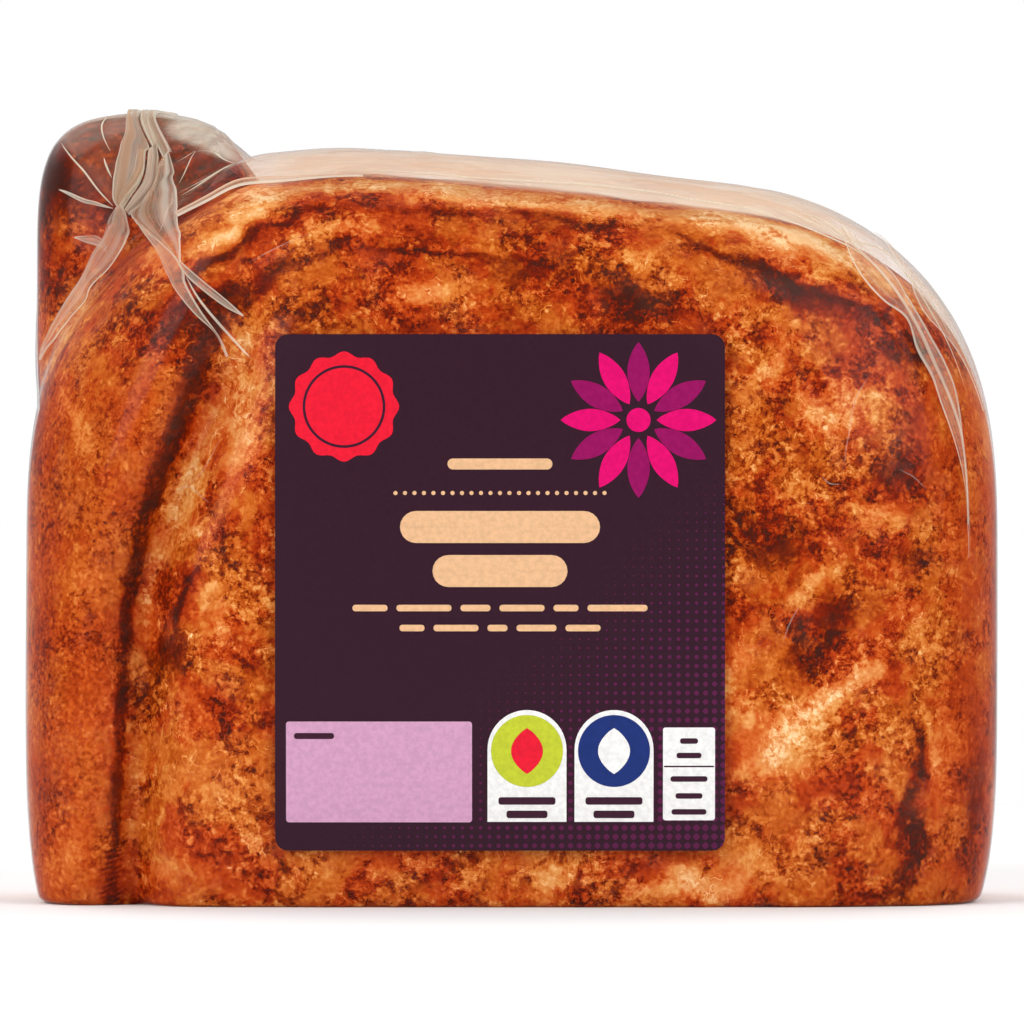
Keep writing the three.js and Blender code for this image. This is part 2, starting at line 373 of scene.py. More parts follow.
def bump(value):
    """A bell, 1 in the middle."""
    return np.exp(-(value**2))


def soft_union(a, b, softness):
    """The smaller of two numbers, rounded off where they are alike."""
    share = np.maximum(softness - np.abs(a - b), 0) / softness
    return np.minimum(a, b) - share * share * softness / 4


def super_length(values, power):
    """The length of a vector, squarer than round for powers above 2."""
    return sum(np.abs(v) ** power for v in values) ** (1 / power)


def bag_form(p, skin):
    """Negative inside the skin, zero on it, positive outside."""
    x, y, up = p[:, 0], p[:, 1], p[:, 2] - MIDDLE[2]
    rise = skin.rise + sum(height * bump((x - at) / spread) for height, at, spread in TOP_SWELLS)
    reach = np.where(up > 0, up / rise, up / SKIRT_DROP)
    outline = super_length([x / skin.half_width, reach], np.where(up > 0, 2.8, 6))
    block = (super_length([outline, y / skin.half_depth], np.where(y < 0, 4, 3)) - 1) * BODY_SCALE
    aside, behind, above = (p - LOBE_CENTRE).T
    long, deep, tall = skin.lobe
    tall = tall + skin.dome * bump(aside / DOME_SPREAD)
    lobe = (super_length([aside / long, behind / deep, above / tall], LOBE_POWER) - 1) * LOBE_SCALE
    return soft_union(block, lobe, LOBE_BLEND)


def past_outline(p):
    """How far points lie past the meat's outline, as it is seen from the front."""
    return bag_form(np.stack([p[:, 0], 0 * p[:, 1] + LOBE_CENTRE[1], p[:, 2]], -1), MEAT)


def crease_x(z):
    """Where the crease's bottom lies at each height: upright below, then leaning right."""
    past = (z - CREASE_BEND) / CREASE_SOFTNESS
    return CREASE_FOOT + CREASE_LEAN * z + CREASE_BEND_LEAN * CREASE_SOFTNESS * np.log1p(np.exp(past))


def front_relief(p, skin):
    """How far the roll stands out, less how far the crease sinks in."""
    beside = p[:, 0] - crease_x(p[:, 2])
    side = np.where(beside < 0, CREASE_LEFT, CREASE_RIGHT)
    crease = skin.crease_depth * (1 - ramp(p[:, 2], *CREASE_FADE)) * bump(beside / side)
    roll = ROLL_SWELL * bump((beside + ROLL_INSET) / ROLL_SPREAD)
    return (roll - crease) * ramp(p[:, 1], *FRONT_BAND)


print("the formula in the middle of the pack:", bag_form(MIDDLE[None], FILM).round(1))

# %% [markdown]
# To lay a mesh on the formula, each of its points is sent out along a ray from the middle until
# the number changes its sign. Halving the ray's length again and again finds that place. A
# Shrinkwrap modifier does the same onto a mesh, but a formula is smoother than any mesh.

# %% Onto the skin
SLOPE_STEP = 0.05
HALVINGS, FURTHEST = 26, 3.0  # how often a ray is halved, and how many times its length it may reach


def outward(p, skin):
    """The direction straight out of the plain form at each point."""
    steps = np.eye(3) * SLOPE_STEP
    slope = np.stack([bag_form(p + s, skin) - bag_form(p - s, skin) for s in steps], -1)
    return slope / np.linalg.norm(slope, axis=1, keepdims=True)


def exit_points(starts, directions, skin):
    """Where rays that start inside the plain form leave it."""
    inside = np.zeros((len(directions), 1))
    outside = np.full((len(directions), 1), FURTHEST)
    for _ in range(HALVINGS):
        half = (inside + outside) / 2
        within = bag_form(starts + directions * half, skin)[:, None] < 0
        inside = np.where(within, half, inside)
        outside = np.where(within, outside, half)
    return starts + directions * inside


def cut_flat(p):
    """Draws points towards the middle until they lie on the resting face."""
    ray = p - MIDDLE
    to_face = MIDDLE[2] / np.maximum(-ray[:, 2], 1e-6)
    cut = MIDDLE + ray * soft_union(1, to_face, FOOT_ROUNDING)[:, None]
    cut[to_face <= 1 - FOOT_ROUNDING, 2] = 0
    return cut


def surface_points(targets, skin, lift=0.0):
    """Each target, seen from the middle, on the skin, and the direction out of it there."""
    rays = targets - MIDDLE
    rays = rays / np.linalg.norm(rays, axis=1, keepdims=True) * FILM.half_width
    plain = exit_points(MIDDLE, rays, skin)
    out = outward(plain, skin)
    height = np.broadcast_to(lift, len(plain)) + front_relief(plain, skin)
    return cut_flat(plain + out * height[:, None]), out


def front_points(xz):
    """Points of the film's front at these x and z."""
    starts = np.stack([xz[:, 0], 0 * xz[:, 0], xz[:, 1]], -1)
    return exit_points(starts, np.tile([0, -FILM.half_depth, 0], (len(xz), 1)), FILM)


print("the front's furthest point:", front_points(MIDDLE[None, ::2]).round(2))

# %% [markdown]
# ## Points all over a block
#
# A skin needs evenly spread points. A globe crowds them at its poles, and a sphere of triangles
# doesn't suit a boxy joint. So the points lie on a block's six sides, as on a folded cardboard
# box, and each is pushed out along its own ray until it meets the formula.

# %% A block's sides
BLOCK_LOW = np.array([-99.4, -52, 0])
BLOCK_HIGH = np.array([99.4, 52, 158])


def block_sides(pitch):
    """Points on the six sides about this far apart, and the quads between them."""
    counts = np.round((BLOCK_HIGH - BLOCK_LOW) / pitch).astype(int)
    steps = np.stack(np.meshgrid(*[np.arange(n + 1) for n in counts], indexing="ij"), -1)
    outer = ((steps == 0) | (steps == counts)).any(-1)
    number = np.full(outer.shape, -1)
    number[outer] = np.arange(outer.sum())
    quads = []
    for axis in range(3):
        for end in (0, -1):
            side = np.take(number, end, axis)
            ring = np.stack([side[:-1, :-1], side[1:, :-1], side[1:, 1:], side[:-1, 1:]], -1)
            faces_out = (end == -1) != (axis == 1)
            quads.append(ring.reshape(-1, 4)[:, :: 1 if faces_out else -1])
    return BLOCK_LOW + (BLOCK_HIGH - BLOCK_LOW) * steps[outer] / counts, np.concatenate(quads)


BLOCK_PITCH = 1.25
block_points, block_quads = block_sides(BLOCK_PITCH)
print("points on the block:", len(block_points))

# %% [markdown]
# Every piece is handed over in the same way: points and faces become a mesh, the mesh rides with
# the pack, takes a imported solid's place, and names its material slot. Values that a material
# reads, such as how slack the film is, are stored with the mesh's corners as attributes, which
# need no image and no unwrapping.

# %% Pieces
def make_piece(name, points, faces, finish, stands_for, values=None):
    """A smooth mesh from points in millimetres, riding with the pack in a CAD node's place."""
    mesh = bpy.data.meshes.new(name)
    corners = [[int(corner) for corner in face] for face in faces]
    mesh.from_pydata((np.asarray(points) * MM).tolist(), [], corners)
    mesh.polygons.foreach_set("use_smooth", [True] * len(mesh.polygons))
    for key, numbers in (values or {}).items():
        kind, field = ("FLOAT", "value") if numbers.ndim == 1 else ("FLOAT_VECTOR", "vector")
        mesh.attributes.new(key, kind, "POINT").data.foreach_set(field, numbers.ravel())
    mesh.materials.append(bpy.data.materials[finish])
    piece = bpy.data.objects.new(name, mesh)
    bpy.context.collection.objects.link(piece)
    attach(piece, "root")
    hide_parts(stands_for)
    print(name, "faces:", len(mesh.polygons))
    return piece


print("pieces ride on the root, as the pack has no joint")

# %% [markdown]
# ## The meat's surface
#
# Roast meat isn't smooth. Lumps a few centimetres across lie under the skin, and the glaze has
# dried in crags of a few millimetres. The film presses on the crags' tops, so the relief here
# only ever sinks below the skin, never stands above it. The lumps come from fractal noise that
# is looked up at each point.

# %% Relief of the meat
def lumps(p, size, octaves, seed):
    """Fractal noise for each point, about -1 to 1, with its largest lumps this many mm across."""
    shift = Vector((seed, seed * 1.7, seed * 2.3))
    rough, growth = 0.9, 2.0
    basis = {"noise_basis": "PERLIN_ORIGINAL"}
    places = [Vector(q) / size + shift for q in p]
    return np.array([noise.fractal(q, rough, growth, octaves, **basis) for q in places])


GAP = 0.25  # the thinnest gap between film and meat
LUMP_SIZE, LUMP_DEPTH = 26, 0.9
CRAG_SIZE, CRAG_DEPTH = 6.5, 0.5
PRESSED_ENDS, PRESSED_TOP = (88, 96), (148, 152)  # where the film presses the meat smooth
meat_plain, _ = surface_points(block_points, MEAT)
lump_heights = lumps(meat_plain, LUMP_SIZE, 2, 3)
crag_heights = lumps(meat_plain, CRAG_SIZE, 3, 11)
sunk = GAP + LUMP_DEPTH * ramp(-lump_heights, -0.2, 0.7) + CRAG_DEPTH * ramp(-crag_heights, -0.1, 0.8)
ends, top = ramp(np.abs(meat_plain[:, 0]), *PRESSED_ENDS), ramp(meat_plain[:, 2], *PRESSED_TOP)
sunk = GAP + (sunk - GAP) * (1 - np.maximum(ends, top))
meat_points, _ = surface_points(block_points, MEAT, -sunk)
print("relief from", round(-sunk.max(), 2), "to", round(-sunk.min(), 2), "mm")

# %% [markdown]
# ## Where the glaze is pale and where it is dark
#
# A glaze browns unevenly: it burns where it ran thick, and fat shows pale where it ran thin.
# Pure noise would be as even as wallpaper. So broad patches are placed one by one, as a cook would
# point them out, each an oval with a length, a width and a turn. Noise bends their edges, and the
# sides that nobody points at get broad noise instead. The furrows where the glaze ran down are
# patches too, long and thin: painted shade in each furrow, with painted light on the edge beside it.

# %% Patches of the glaze
PATCHES = [  # x, z, half length, half width, turn in degrees, how much lighter or darker
    # beside the label, on the left
    (-54.4, 96.6, 10, 4, 80, 0.34), (-55, 112.6, 4.5, 3, 0, 0.16), (-59.4, 53.6, 8, 5, 90, 0.12),
    (-63.4, 73.6, 4, 2.5, 60, 0.14), (-65, 36, 9, 5, 70, 0.08), (-58, 25, 6, 4, 0, 0.1),
    (-69.4, 49.6, 8, 3.4, 55, -0.26), (-57.4, 72.6, 4, 3, 0, -0.16), (-65, 117, 6, 4, 60, -0.2),
    # above it
    (-16.4, 124.6, 8, 3.8, -15, 0.28), (28.6, 128.6, 5, 3, -45, 0.14), (4, 141.4, 20, 1.7, -7, 0.2),
    (-26, 144.6, 20, 1.6, 4, 0.24), (-26, 137.6, 12, 1.6, 10, 0.12),
    (55.6, 134.6, 18, 3, -20, 0.33), (-57, 136.8, 10, 2.8, 24, 0.26), (-49.4, 129.2, 10, 2.4, 12, 0.12),
    (-53.5, 145, 10, 2, 12, 0.24), (-53, 133.6, 12, 1.6, 30, -0.08), (-36, 137.4, 8, 2.4, 8, 0.16),
    (46.6, 117.6, 4, 3, 0, 0.14), (-52.4, 124.6, 13, 2.8, 22, -0.2), (25.6, 121.6, 8, 4, 0, -0.26),
    (57.6, 123.6, 17, 4, -27, -0.24), (-40, 118.6, 6, 3.4, 0, -0.16), (4, 128, 8, 3, 0, -0.12),
    # beside it, on the right
    (51.6, 106.6, 7, 3.6, 60, 0.24), (63.2, 98.6, 5, 4, 0, 0.34), (73.6, 101.6, 5, 2.4, 0, 0.16),
    (72.6, 79.6, 6, 3.6, 0, 0.2), (59.6, 63.6, 8, 1.8, 40, 0.22), (53.6, 33.6, 9, 4, 35, 0.36),
    (67.6, 44.6, 11, 3, 38, 0.32), (45.6, 49.6, 4, 5, 0, 0.16), (45.6, 39.6, 4, 4, 0, 0.26),
    (81.6, 56.6, 6, 2.4, -60, 0.14), (86.6, 31.6, 8, 2.6, 90, 0.18), (51.6, 73.6, 10, 6, 0, -0.22),
    (62.6, 55.6, 11, 4.5, 40, -0.26), (78.6, 87.6, 7, 5, 45, -0.24), (79.6, 113.6, 6, 3.4, 0, -0.22),
    (93, 18, 18, 2.6, 90, -0.26), (80.6, 11.6, 13, 2, 85, -0.2), (80.6, 69.6, 6, 3, 30, -0.18),
    # below it
    (47.6, 9.6, 5, 5, 0, 0.16), (35.6, 4.6, 10, 2.6, 0, 0.34), (9.6, 6.6, 6, 2.6, 0, 0.2),
    (-69.4, 7.6, 5, 4, 0, 0.12),
    # the roll
    (-86.4, 65.6, 4, 3, 0, 0.14), (-87.4, 97.6, 9, 1.7, -62, 0.26), (-90.4, 7.6, 4, 5, 0, 0.18),
    (-94, 45, 40, 2, 90, -0.1), (-78, 123, 8, 4, 60, -0.08),
    # furrows that the glaze ran down: painted shade in each, and painted light on the edge beside it
    (44, 130.6, 11, 1, -20, -0.3), (64, 122.6, 12, 0.9, -26, -0.24), (46, 133.2, 10, 1, -20, 0.14),
    (66, 125.4, 10, 1, -26, 0.14), (81.4, 32, 8, 0.9, 84, -0.32), (81.6, 18, 8, 0.9, 98, -0.26),
    (84.4, 30, 9, 1, 90, 0.14), (-58, 131.6, 10, 1, 38, -0.24), (-44, 139, 9, 1, 20, -0.16),
    (-60, 134.4, 9, 1, 38, 0.14), (-66, 62, 9, 1, 66, -0.3), (-61.6, 60, 8, 1, 66, 0.12),
    (-30, 141.6, 8, 1, 10, -0.08), (-14, 141.6, 9, 1, -2, -0.14), (2, 138.8, 9, 1, -10, -0.14),
    (17, 136.4, 9, 1, -9, -0.16), (-41, 129, 9, 1.1, 24, -0.16), (-22, 132.4, 8, 1.1, -14, -0.15),
    (-7, 130, 8, 1, -5, -0.14), (8, 130.2, 7, 1, 12, -0.14), (-22, 134.6, 8, 1, -14, 0.12),
    (-7, 132.2, 8, 1, -5, 0.12),
    # the charred lobe
    (-94, 147.5, 7, 2.8, 86, -0.6), (-89, 148, 6, 5, 0, -0.04), (-93, 124, 4, 2, 60, -0.34),
    (-91, 132, 6, 7, 0, 0.14), (-83, 134, 7, 8, 0, 0.14), (-74, 132, 8, 6, 0, 0.22),
    (-62, 149, 9, 4, 20, -0.08),
]
WANDER, WANDER_SIZE = 3, 9  # how far noise of this size bends the patches' edges


def patch_tones(p):
    """How much lighter or darker the patches make each point."""
    bend = np.stack([lumps(p, WANDER_SIZE, 2, seed) for seed in (21, 31)], -1)
    bent = p[:, [0, 2]] + WANDER * bend
    total = np.zeros(len(p))
    for x, z, long, across, turn, tone in PATCHES:
        beside, above = bent[:, 0] - x, bent[:, 1] - z
        c, s = math.cos(math.radians(turn)), math.sin(math.radians(turn))
        total += tone * bump((beside * c + above * s) / long) * bump((above * c - beside * s) / across)
    return total


print("patches:", len(PATCHES))

# %% [markdown]
# The patches, the crease's dark line of painted shade with painted light on its right wall, the
# pale line along the meat's top edge, partly its gold and partly painted light where it curves
# away, painted shade on the roll and the upper front, and the broad noise add up to one tone for
# each corner. Three more values say where the front, the lobe and the roll are, and how calm the
# glaze's small marks are there.

# %% Tones of each corner
PATCH_BAND = (-12, -34)  # depth over which the front's patches take over from broad noise
CREASE_LINE = [  # height, how far its painted shade line lies from the crease's bottom, half width
    (0, -1.2, 1.2), (63, -0.6, 1.3), (71, -0.9, 1.4), (79, -2.3, 1.8), (88, -2.9, 2.2), (98, -3.1, 2.4),
    (108, -4.0, 2.2),
]
CREASE_WALL = 3.5  # where the painted light on its right wall lies
EDGE_GOLD_AND_LIGHT, EDGE_INSIDE, EDGE_SPREAD = 0.22, 1.7, 2.0  # the pale line along the meat's top edge: partly the glaze's gold, partly painted light where the surface curves away
BROAD_SIZE, BROAD_DEPTH = 30, 0.26
LOBE_SIDE, LOBE_FOOT = (50, 60), (118, 134)  # where the lobe begins, to the left and upwards
FAN_SHADE = (112, 128)  # heights over which the crease's painted shade line fades out under the fan
LINE_BEND, LINE_BEND_SIZE = 0.7, 7  # how far noise bends that line
LINE_EDGES = (0.1, 1.6)
LINE_FOOT, LINE_FULL = 0.75, (56, 78)  # it is fainter at its foot, and full from these heights on
WALL_HEIGHTS, WALL_WIDTH = (30, 60), 2.6
# where the roll lies; it gets freckles, calmer marks and a little painted shade
ROLL_SIDE, ROLL_TOP = (1, 6), (100, 116)
# UPPER: heights over which painted shade darkens the upper front
UPPER, EDGE_HEIGHTS = (106, 130), (110, 130)
FLANK_SIDE, FLANK_TOP = (80, 92), (100, 120)  # the right end, where the streaks are all there is
# how much painted shade the crease gets, painted light its right wall, char the lobe, and painted shade
# the upper front and the roll
CREASE_PAINTED_SHADE, WALL_PAINTED_LIGHT, LOBE_CHAR, UPPER_PAINTED_SHADE, ROLL_PAINTED_SHADE = 0.42, 0.14, 0.14, 0.04, 0.01
BROAD_FRONT, BROAD_LOBE = 0.25, 0.3  # what is left of the broad noise where patches say more
CALM_ROLL, CALM_CREASE, CALM_LOBE, CALM_FLANK = 0.8, 0.4, 0.3, 0.6
x, y, z = meat_points.T
front = ramp(y, *PATCH_BAND)
on_lobe = ramp(-x, *LOBE_SIDE) * ramp(z, *LOBE_FOOT) * (1 - front)
beside = x - crease_x(z)
below_fan = front * (1 - ramp(z, *FAN_SHADE))
line_heights, line_asides, line_widths = np.array(CREASE_LINE).T
aside = beside - np.interp(z, line_heights, line_asides)
aside = aside + LINE_BEND * lumps(meat_points, LINE_BEND_SIZE, 3, 71)
crease_shade_mask = 1 - ramp(np.abs(aside) / np.interp(z, line_heights, line_widths), *LINE_EDGES)
crease_shade_mask *= below_fan * (LINE_FOOT + (1 - LINE_FOOT) * ramp(z, *LINE_FULL))
right_wall = bump((beside - CREASE_WALL) / WALL_WIDTH) * below_fan * ramp(z, *WALL_HEIGHTS)
roll = ramp(-beside, *ROLL_SIDE) * front * (1 - ramp(z, *ROLL_TOP))
flank = ramp(x, *FLANK_SIDE) * (1 - ramp(z, *FLANK_TOP))
top_edge = bump((past_outline(meat_points) + EDGE_INSIDE) / EDGE_SPREAD)
top_edge *= ramp(z, *EDGE_HEIGHTS) * front

tones = np.maximum(front, on_lobe) * patch_tones(meat_points)
# painted light on the crease's right wall and, in part, along the top edge; painted shade in the crease,
# on the upper front and on the roll; char on the lobe
tones += EDGE_GOLD_AND_LIGHT * top_edge + WALL_PAINTED_LIGHT * right_wall - ROLL_PAINTED_SHADE * roll
tones -= CREASE_PAINTED_SHADE * crease_shade_mask + LOBE_CHAR * on_lobe + UPPER_PAINTED_SHADE * ramp(z, *UPPER) * front
left_over = (1 - (1 - BROAD_FRONT) * front) * (1 - (1 - BROAD_LOBE) * on_lobe)
tones += BROAD_DEPTH * lumps(meat_points, BROAD_SIZE, 3, 41) * left_over
calm = [CALM_ROLL * roll, CALM_CREASE * crease_shade_mask, CALM_LOBE * on_lobe, CALM_FLANK * flank]
calm = np.maximum.reduce(calm)
print("tones from", round(tones.min(), 2), "to", round(tones.max(), 2))

# %% [markdown]
# The glaze also ran before it set. Its streaks follow the joint's outline round the shoulders
# and down the sides. Noise that is looked up along the outline, and squeezed along it, draws such
# streaks, so every corner carries its place along, across and into the outline.

# %% Streak directions
STREAK_MIDDLE = 60  # the height round which the streaks turn
STREAK_REACH = (99, 96)  # the outline that they follow, to the side and up
STREAK_TURN, STREAK_STRETCH = 90, 3.2
rise = z - STREAK_MIDDLE
reach = super_length([x / STREAK_REACH[0], rise / STREAK_REACH[1]], 3) * STREAK_REACH[1]
turned = np.arctan2(x, rise) * STREAK_TURN / STREAK_STRETCH
streak_places = np.stack([turned, reach, y / 2], -1)
print("streak places from", streak_places.min(0).round(), "to", streak_places.max(0).round())

# %% [markdown]
# ## The glaze
#
# The colours run from near black through red-brown and orange to pale tan, and one number, the
# tone, picks among them. A ramp of nine stops keeps the order true: mixing a dark and a light
# colour straight would pass through dull browns that a glaze doesn't have. There are two such
# ramps, a redder one on lean meat and a more golden one on fat.

# %% Colours of the glaze
TONE_STOPS = (0.0, 0.1, 0.2, 0.3, 0.42, 0.54, 0.66, 0.8, 1.0)
LEAN_COLOURS = [
    (84, 18, 3), (102, 20, 1), (123, 28, 1), (146, 40, 2), (170, 56, 8), (188, 78, 20),
    (202, 104, 42), (215, 138, 74), (236, 190, 138),
]
FAT_COLOURS = [
    (92, 24, 3), (112, 32, 1), (138, 47, 3), (162, 66, 9), (184, 88, 22), (200, 110, 40),
    (211, 134, 64), (223, 161, 95), (240, 206, 158),
]
BURNT = screen(58, 21, 13)
BURNT_TONES = (-0.22, 0.04)  # below these tones the glaze is burnt


def glaze_colour(tone, fat):
    """The colour of each tone, on lean meat, on fat, and where it burnt."""
    ramps = []
    for colours in (LEAN_COLOURS, FAT_COLOURS):
        stops = [(at, screen(*colour)) for at, colour in zip(TONE_STOPS, colours)]
        ramps.append(tone.paint.node("ValToRGB", {"stops": stops}, {"Fac": tone}))
    return blend(fade(tone, *BURNT_TONES), BURNT, blend(fat, *ramps))


print("stops of each ramp:", len(TONE_STOPS))

# %% [markdown]
# The tone adds up what an eye sees at each size, and the largest marks come first: the patches,
# cut into three steps with frayed edges, soft clouds, and streaks where the glaze ran. All of
# them are noise that is looked up at bent places, because plain noise looks like clouds in a
# sky, and bent noise like something that flowed.

# %% Patches and streaks of the glaze
def mask(point, size, detail, rough, start, end):
    """Soft noise, cut off below start and full past end."""
    return fade(spots(point, size, detail, rough), start, end)


BEND_SIZE, BEND_REACH = 9, 7  # lumps of the noise that bends places, and twice how far it can
NUDGE = 0.3  # small marks are bent by this share only
FRAY_SIZE, FRAY_DEPTH = 6, 0.45
STEPS = [(0.09, 0.115), (-0.13, -0.105)]  # patch tones between which the glaze takes a step up
STEP_DEPTH = 0.12
CLOUD_SIZE, CLOUD_DEPTH = 16, 0.2
FLOW, FLOW_DEPTH = (5, 3, 0.55, 0.44, 0.56), 0.08
GLAZE_MIDDLE = 0.41


def glaze_places(paint):
    """A point's own place, its bent and nudged ones, and its place along the streaks."""
    point = place(paint)
    bend = spots(point, BEND_SIZE, 1, 0.5, out="Color")
    bend = scaled(vector_maths("SUBTRACT", bend, (0.5, 0.5, 0.5)), BEND_REACH)
    bent = vector_maths("ADD", point, bend)
    nudged = vector_maths("ADD", point, scaled(bend, NUDGE))
    along = vector_maths("ADD", named(paint, "streak", "Vector"), bend)
    return point, bent, nudged, along


def broad_tone(paint, clouds, nudged, along, lively):
    """The tone of patches, clouds and streaks."""
    patch = named(paint, "tone")
    frayed = patch + (spots(nudged, FRAY_SIZE, 4, 0.65) - 0.5) * FRAY_DEPTH
    steps = sum(fade(frayed, *limits) for limits in STEPS) - 1
    flow = mask(along, *FLOW) - 0.5
    stirred = clouds * CLOUD_DEPTH + flow * FLOW_DEPTH + steps * STEP_DEPTH
    return stirred * lively + patch + GLAZE_MIDDLE


print("the glaze steps up at patch tones of", sorted(round(sum(s) / 2, 2) for s in STEPS))

# %% [markdown]
# Then the small marks. Flakes of three sizes have dark rims, and thin dark curls of crust gather
# where the glaze caught. Over them lie specks of burnt sugar, freckles on the roll, tiny pale specks
# of painted glint, and thin lines of painted glint with painted shade beside them. Each is a noise
# with two limits: below the first there is no mark, above the second there is all of it.

# %% Small marks of the glaze
FLAKES = [(6.5, 0.1, 0.05), (3.1, 0.15, 0.09), (1.6, 0.15, 0.07)]  # size, tone, how dark the rim is
FLAKE_LIMITS = (0.48, 0.52)
RIM_OFFSET, RIM_WIDTH = 0.025, 0.014  # as shares of the noise that draws the flakes
CRAG_TONE = 0.16
CRUSTS = [(4.2, 0.02, 0.15), (2.2, 0.03, 0.16)]  # size, width, how dark they are
# thin lines of painted glint, as off the film's small wrinkles, each with painted shade beside it
GLINT_SIZE, GLINT_WIDTH = 3.4, 0.012
SHADE_OFFSET, SHADE_WIDTH = GLINT_WIDTH * 1.6, GLINT_WIDTH * 1.2
GLINT_TONE, SHADE_TONE = 0.26, 0.14
MARKS = {  # size, detail and roughness of the noise, and its two limits
    "crusted": (9, 2, 0.5, 0.42, 0.56),
    "glint_patches": (5, 2, 0.6, 0.53, 0.57),
    "speck": (1.9, 3, 0.6, 0.56, 0.6),
    "freckle": (1.2, 2, 0.7, 0.46, 0.54),
    "pale_glint": (1.7, 2, 0.6, 0.6, 0.64),
}


def thin_lines(noise_value, width):
    """Lines a share of the noise wide, where it passes its middle."""
    return 1 - fade((noise_value - 0.5).maths("ABSOLUTE"), 0.0, width)


def flake_tone(nudged, crags):
    """Flakes with dark rims."""
    flakes = crags * CRAG_TONE
    for size, depth, rim in FLAKES:
        shape = spots(nudged, size, 3, 0.6)
        flakes = flakes + (fade(shape, *FLAKE_LIMITS) - 0.5) * depth
        flakes = flakes - thin_lines(shape + RIM_OFFSET, RIM_WIDTH) * rim
    return flakes


def crust_tone(nudged):
    """How dark the curls of crust are."""
    curls = 0
    for size, width, depth in CRUSTS:
        curls = curls + thin_lines(spots(nudged, size, 2, 0.6), width) * depth
    return curls


def painted_glint_tone(point, nudged):
    """Painted glints along thin lines, each with a line of painted shade beside it."""
    curl = spots(nudged, GLINT_SIZE, 1, 0.5)
    glints = thin_lines(curl, GLINT_WIDTH) * GLINT_TONE
    shades = thin_lines(curl + SHADE_OFFSET, SHADE_WIDTH) * SHADE_TONE
    return (glints - shades) * mask(point, *MARKS["glint_patches"])


print("kinds of small marks:", len(FLAKES) + len(CRUSTS) + len(MARKS))

# %% [markdown]
# The material adds the marks up. Pale places show fewer of them, and the calm places that the
# mesh names, such as the roll, show hardly any. The same crags that change the tone also change
# the gloss and the relief, so that light and colour agree.

# %% Glaze material
PALE = (0.42, 0.62)  # tones between which the glaze goes from deep to pale
BUSY_LEAST, BUSY_MORE = 0.4, 0.8
CRUST_DEPTH, CRUST_PALE = 1.1, 0.7
SPECK_DEPTH, SPECK_CRUSTED = 0.04, 0.15
# the tiny pale specks on darker glaze are painted glints; freckles and grain are the glaze's own
PALE_GLINT_TONE, FRECKLE_TONE, GRAIN_TONE = 0.14, 0.12, 0.28
PALE_CALM = 0.4  # pale places show their flakes by this share less
CRAGS, GRAINS = (4, 4, 0.6), (0.8, 1, 0.5)  # size, detail and roughness of their noise
FAT_LUMPS, FAT_CLOUDS = (11, 4, 0.65), 0.8
FAT_GRAINS, FAT_GRAIN_SHARE = (2, 3, 0.6), 0.4
FAT_MIDDLE, FAT_CALM = 0.45, 0.3
FAT_LIMITS = (0.42, 0.6)
GLAZE_ROUGH, GLAZE_SHINE, CRAG_GLOSS = 0.55, 0.05, 0.3
GLAZE_RELIEF, GRAIN_RELIEF = (0.5, 0.5), 0.3  # strength and depth in mm, and the grain's share


def bumped(height, strength, distance):
    """The relief of a height, this many millimetres deep at full strength."""
    values = {"Strength": strength, "Distance": distance * MM, "Height": height}
    return height.paint.node("Bump", {}, values)


def fat_share(bent, clouds, lively):
    """Where fat lies under the glaze: in clouds, with lumps and grains of its own."""
    fat = spots(bent, *FAT_LUMPS) + clouds * FAT_CLOUDS
    fat = fat + (spots(bent, *FAT_GRAINS) - 0.5) * FAT_GRAIN_SHARE
    fat = fade(fat, *FAT_LIMITS) - FAT_MIDDLE
    return fat * (lively * (1 - FAT_CALM) + FAT_CALM) + FAT_MIDDLE


def paint_glaze(paint):
    point, bent, nudged, along = glaze_places(paint)
    lively = 1 - named(paint, "calm")
    clouds = spots(bent, CLOUD_SIZE, 2, 0.5) - 0.5
    crags = spots(nudged, *CRAGS) - 0.5
    grain = spots(point, *GRAINS) - 0.5
    crusted = mask(bent, *MARKS["crusted"])
    specks, freckles, pale_glints = (mask(point, *MARKS[k]) for k in ("speck", "freckle", "pale_glint"))

    tone = broad_tone(paint, clouds, nudged, along, lively)
    pale = fade(tone, *PALE)
    busy = crusted * BUSY_MORE + BUSY_LEAST
    flakes = flake_tone(nudged, crags) * busy * (1 - pale * PALE_CALM)
    # the painted glints and their painted shade join the flakes here
    tone = tone + (flakes + painted_glint_tone(point, nudged)) * lively
    tone = tone - crust_tone(nudged) * crusted * (CRUST_DEPTH - pale * CRUST_PALE)
    # burnt specks darken the glaze, and tiny pale specks of painted glint lighten its darker places
    tone = tone - specks * (crusted * SPECK_CRUSTED + SPECK_DEPTH) + pale_glints * (1 - pale) * PALE_GLINT_TONE
    tone = tone + (freckles - 0.5) * named(paint, "roll") * FRECKLE_TONE + grain * GRAIN_TONE
    colour = glaze_colour(tone, fat_share(bent, clouds, lively))
    relief = bumped(crags + grain * GRAIN_RELIEF, *GLAZE_RELIEF)
    finish_skin(paint, colour, GLAZE_ROUGH - crags * CRAG_GLOSS, GLAZE_SHINE, relief)


paint_glaze(new_paint("glaze"))
make_piece(
    "ham", meat_points, block_quads, "glaze", "bagged_ham",
    {"tone": tones, "calm": calm, "roll": roll, "streak": streak_places},
)

# %% [markdown]
# ## The bag's film
#
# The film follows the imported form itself. On the front it lies on the meat, and only its gloss
# shows. Over the top it bridges from the front edge to the back and stands some millimetres off.
# There it is slack, from just past the meat's outline on: it has a sheet's own folds and looks
# milky, but clings to the meat again in places. A thin veil of it also lies over the lobe, and a
# fold caps the lobe's right side. Each corner carries how slack the film is, and the gap to the
# meat is measured point by point, because both skins share the block's points.

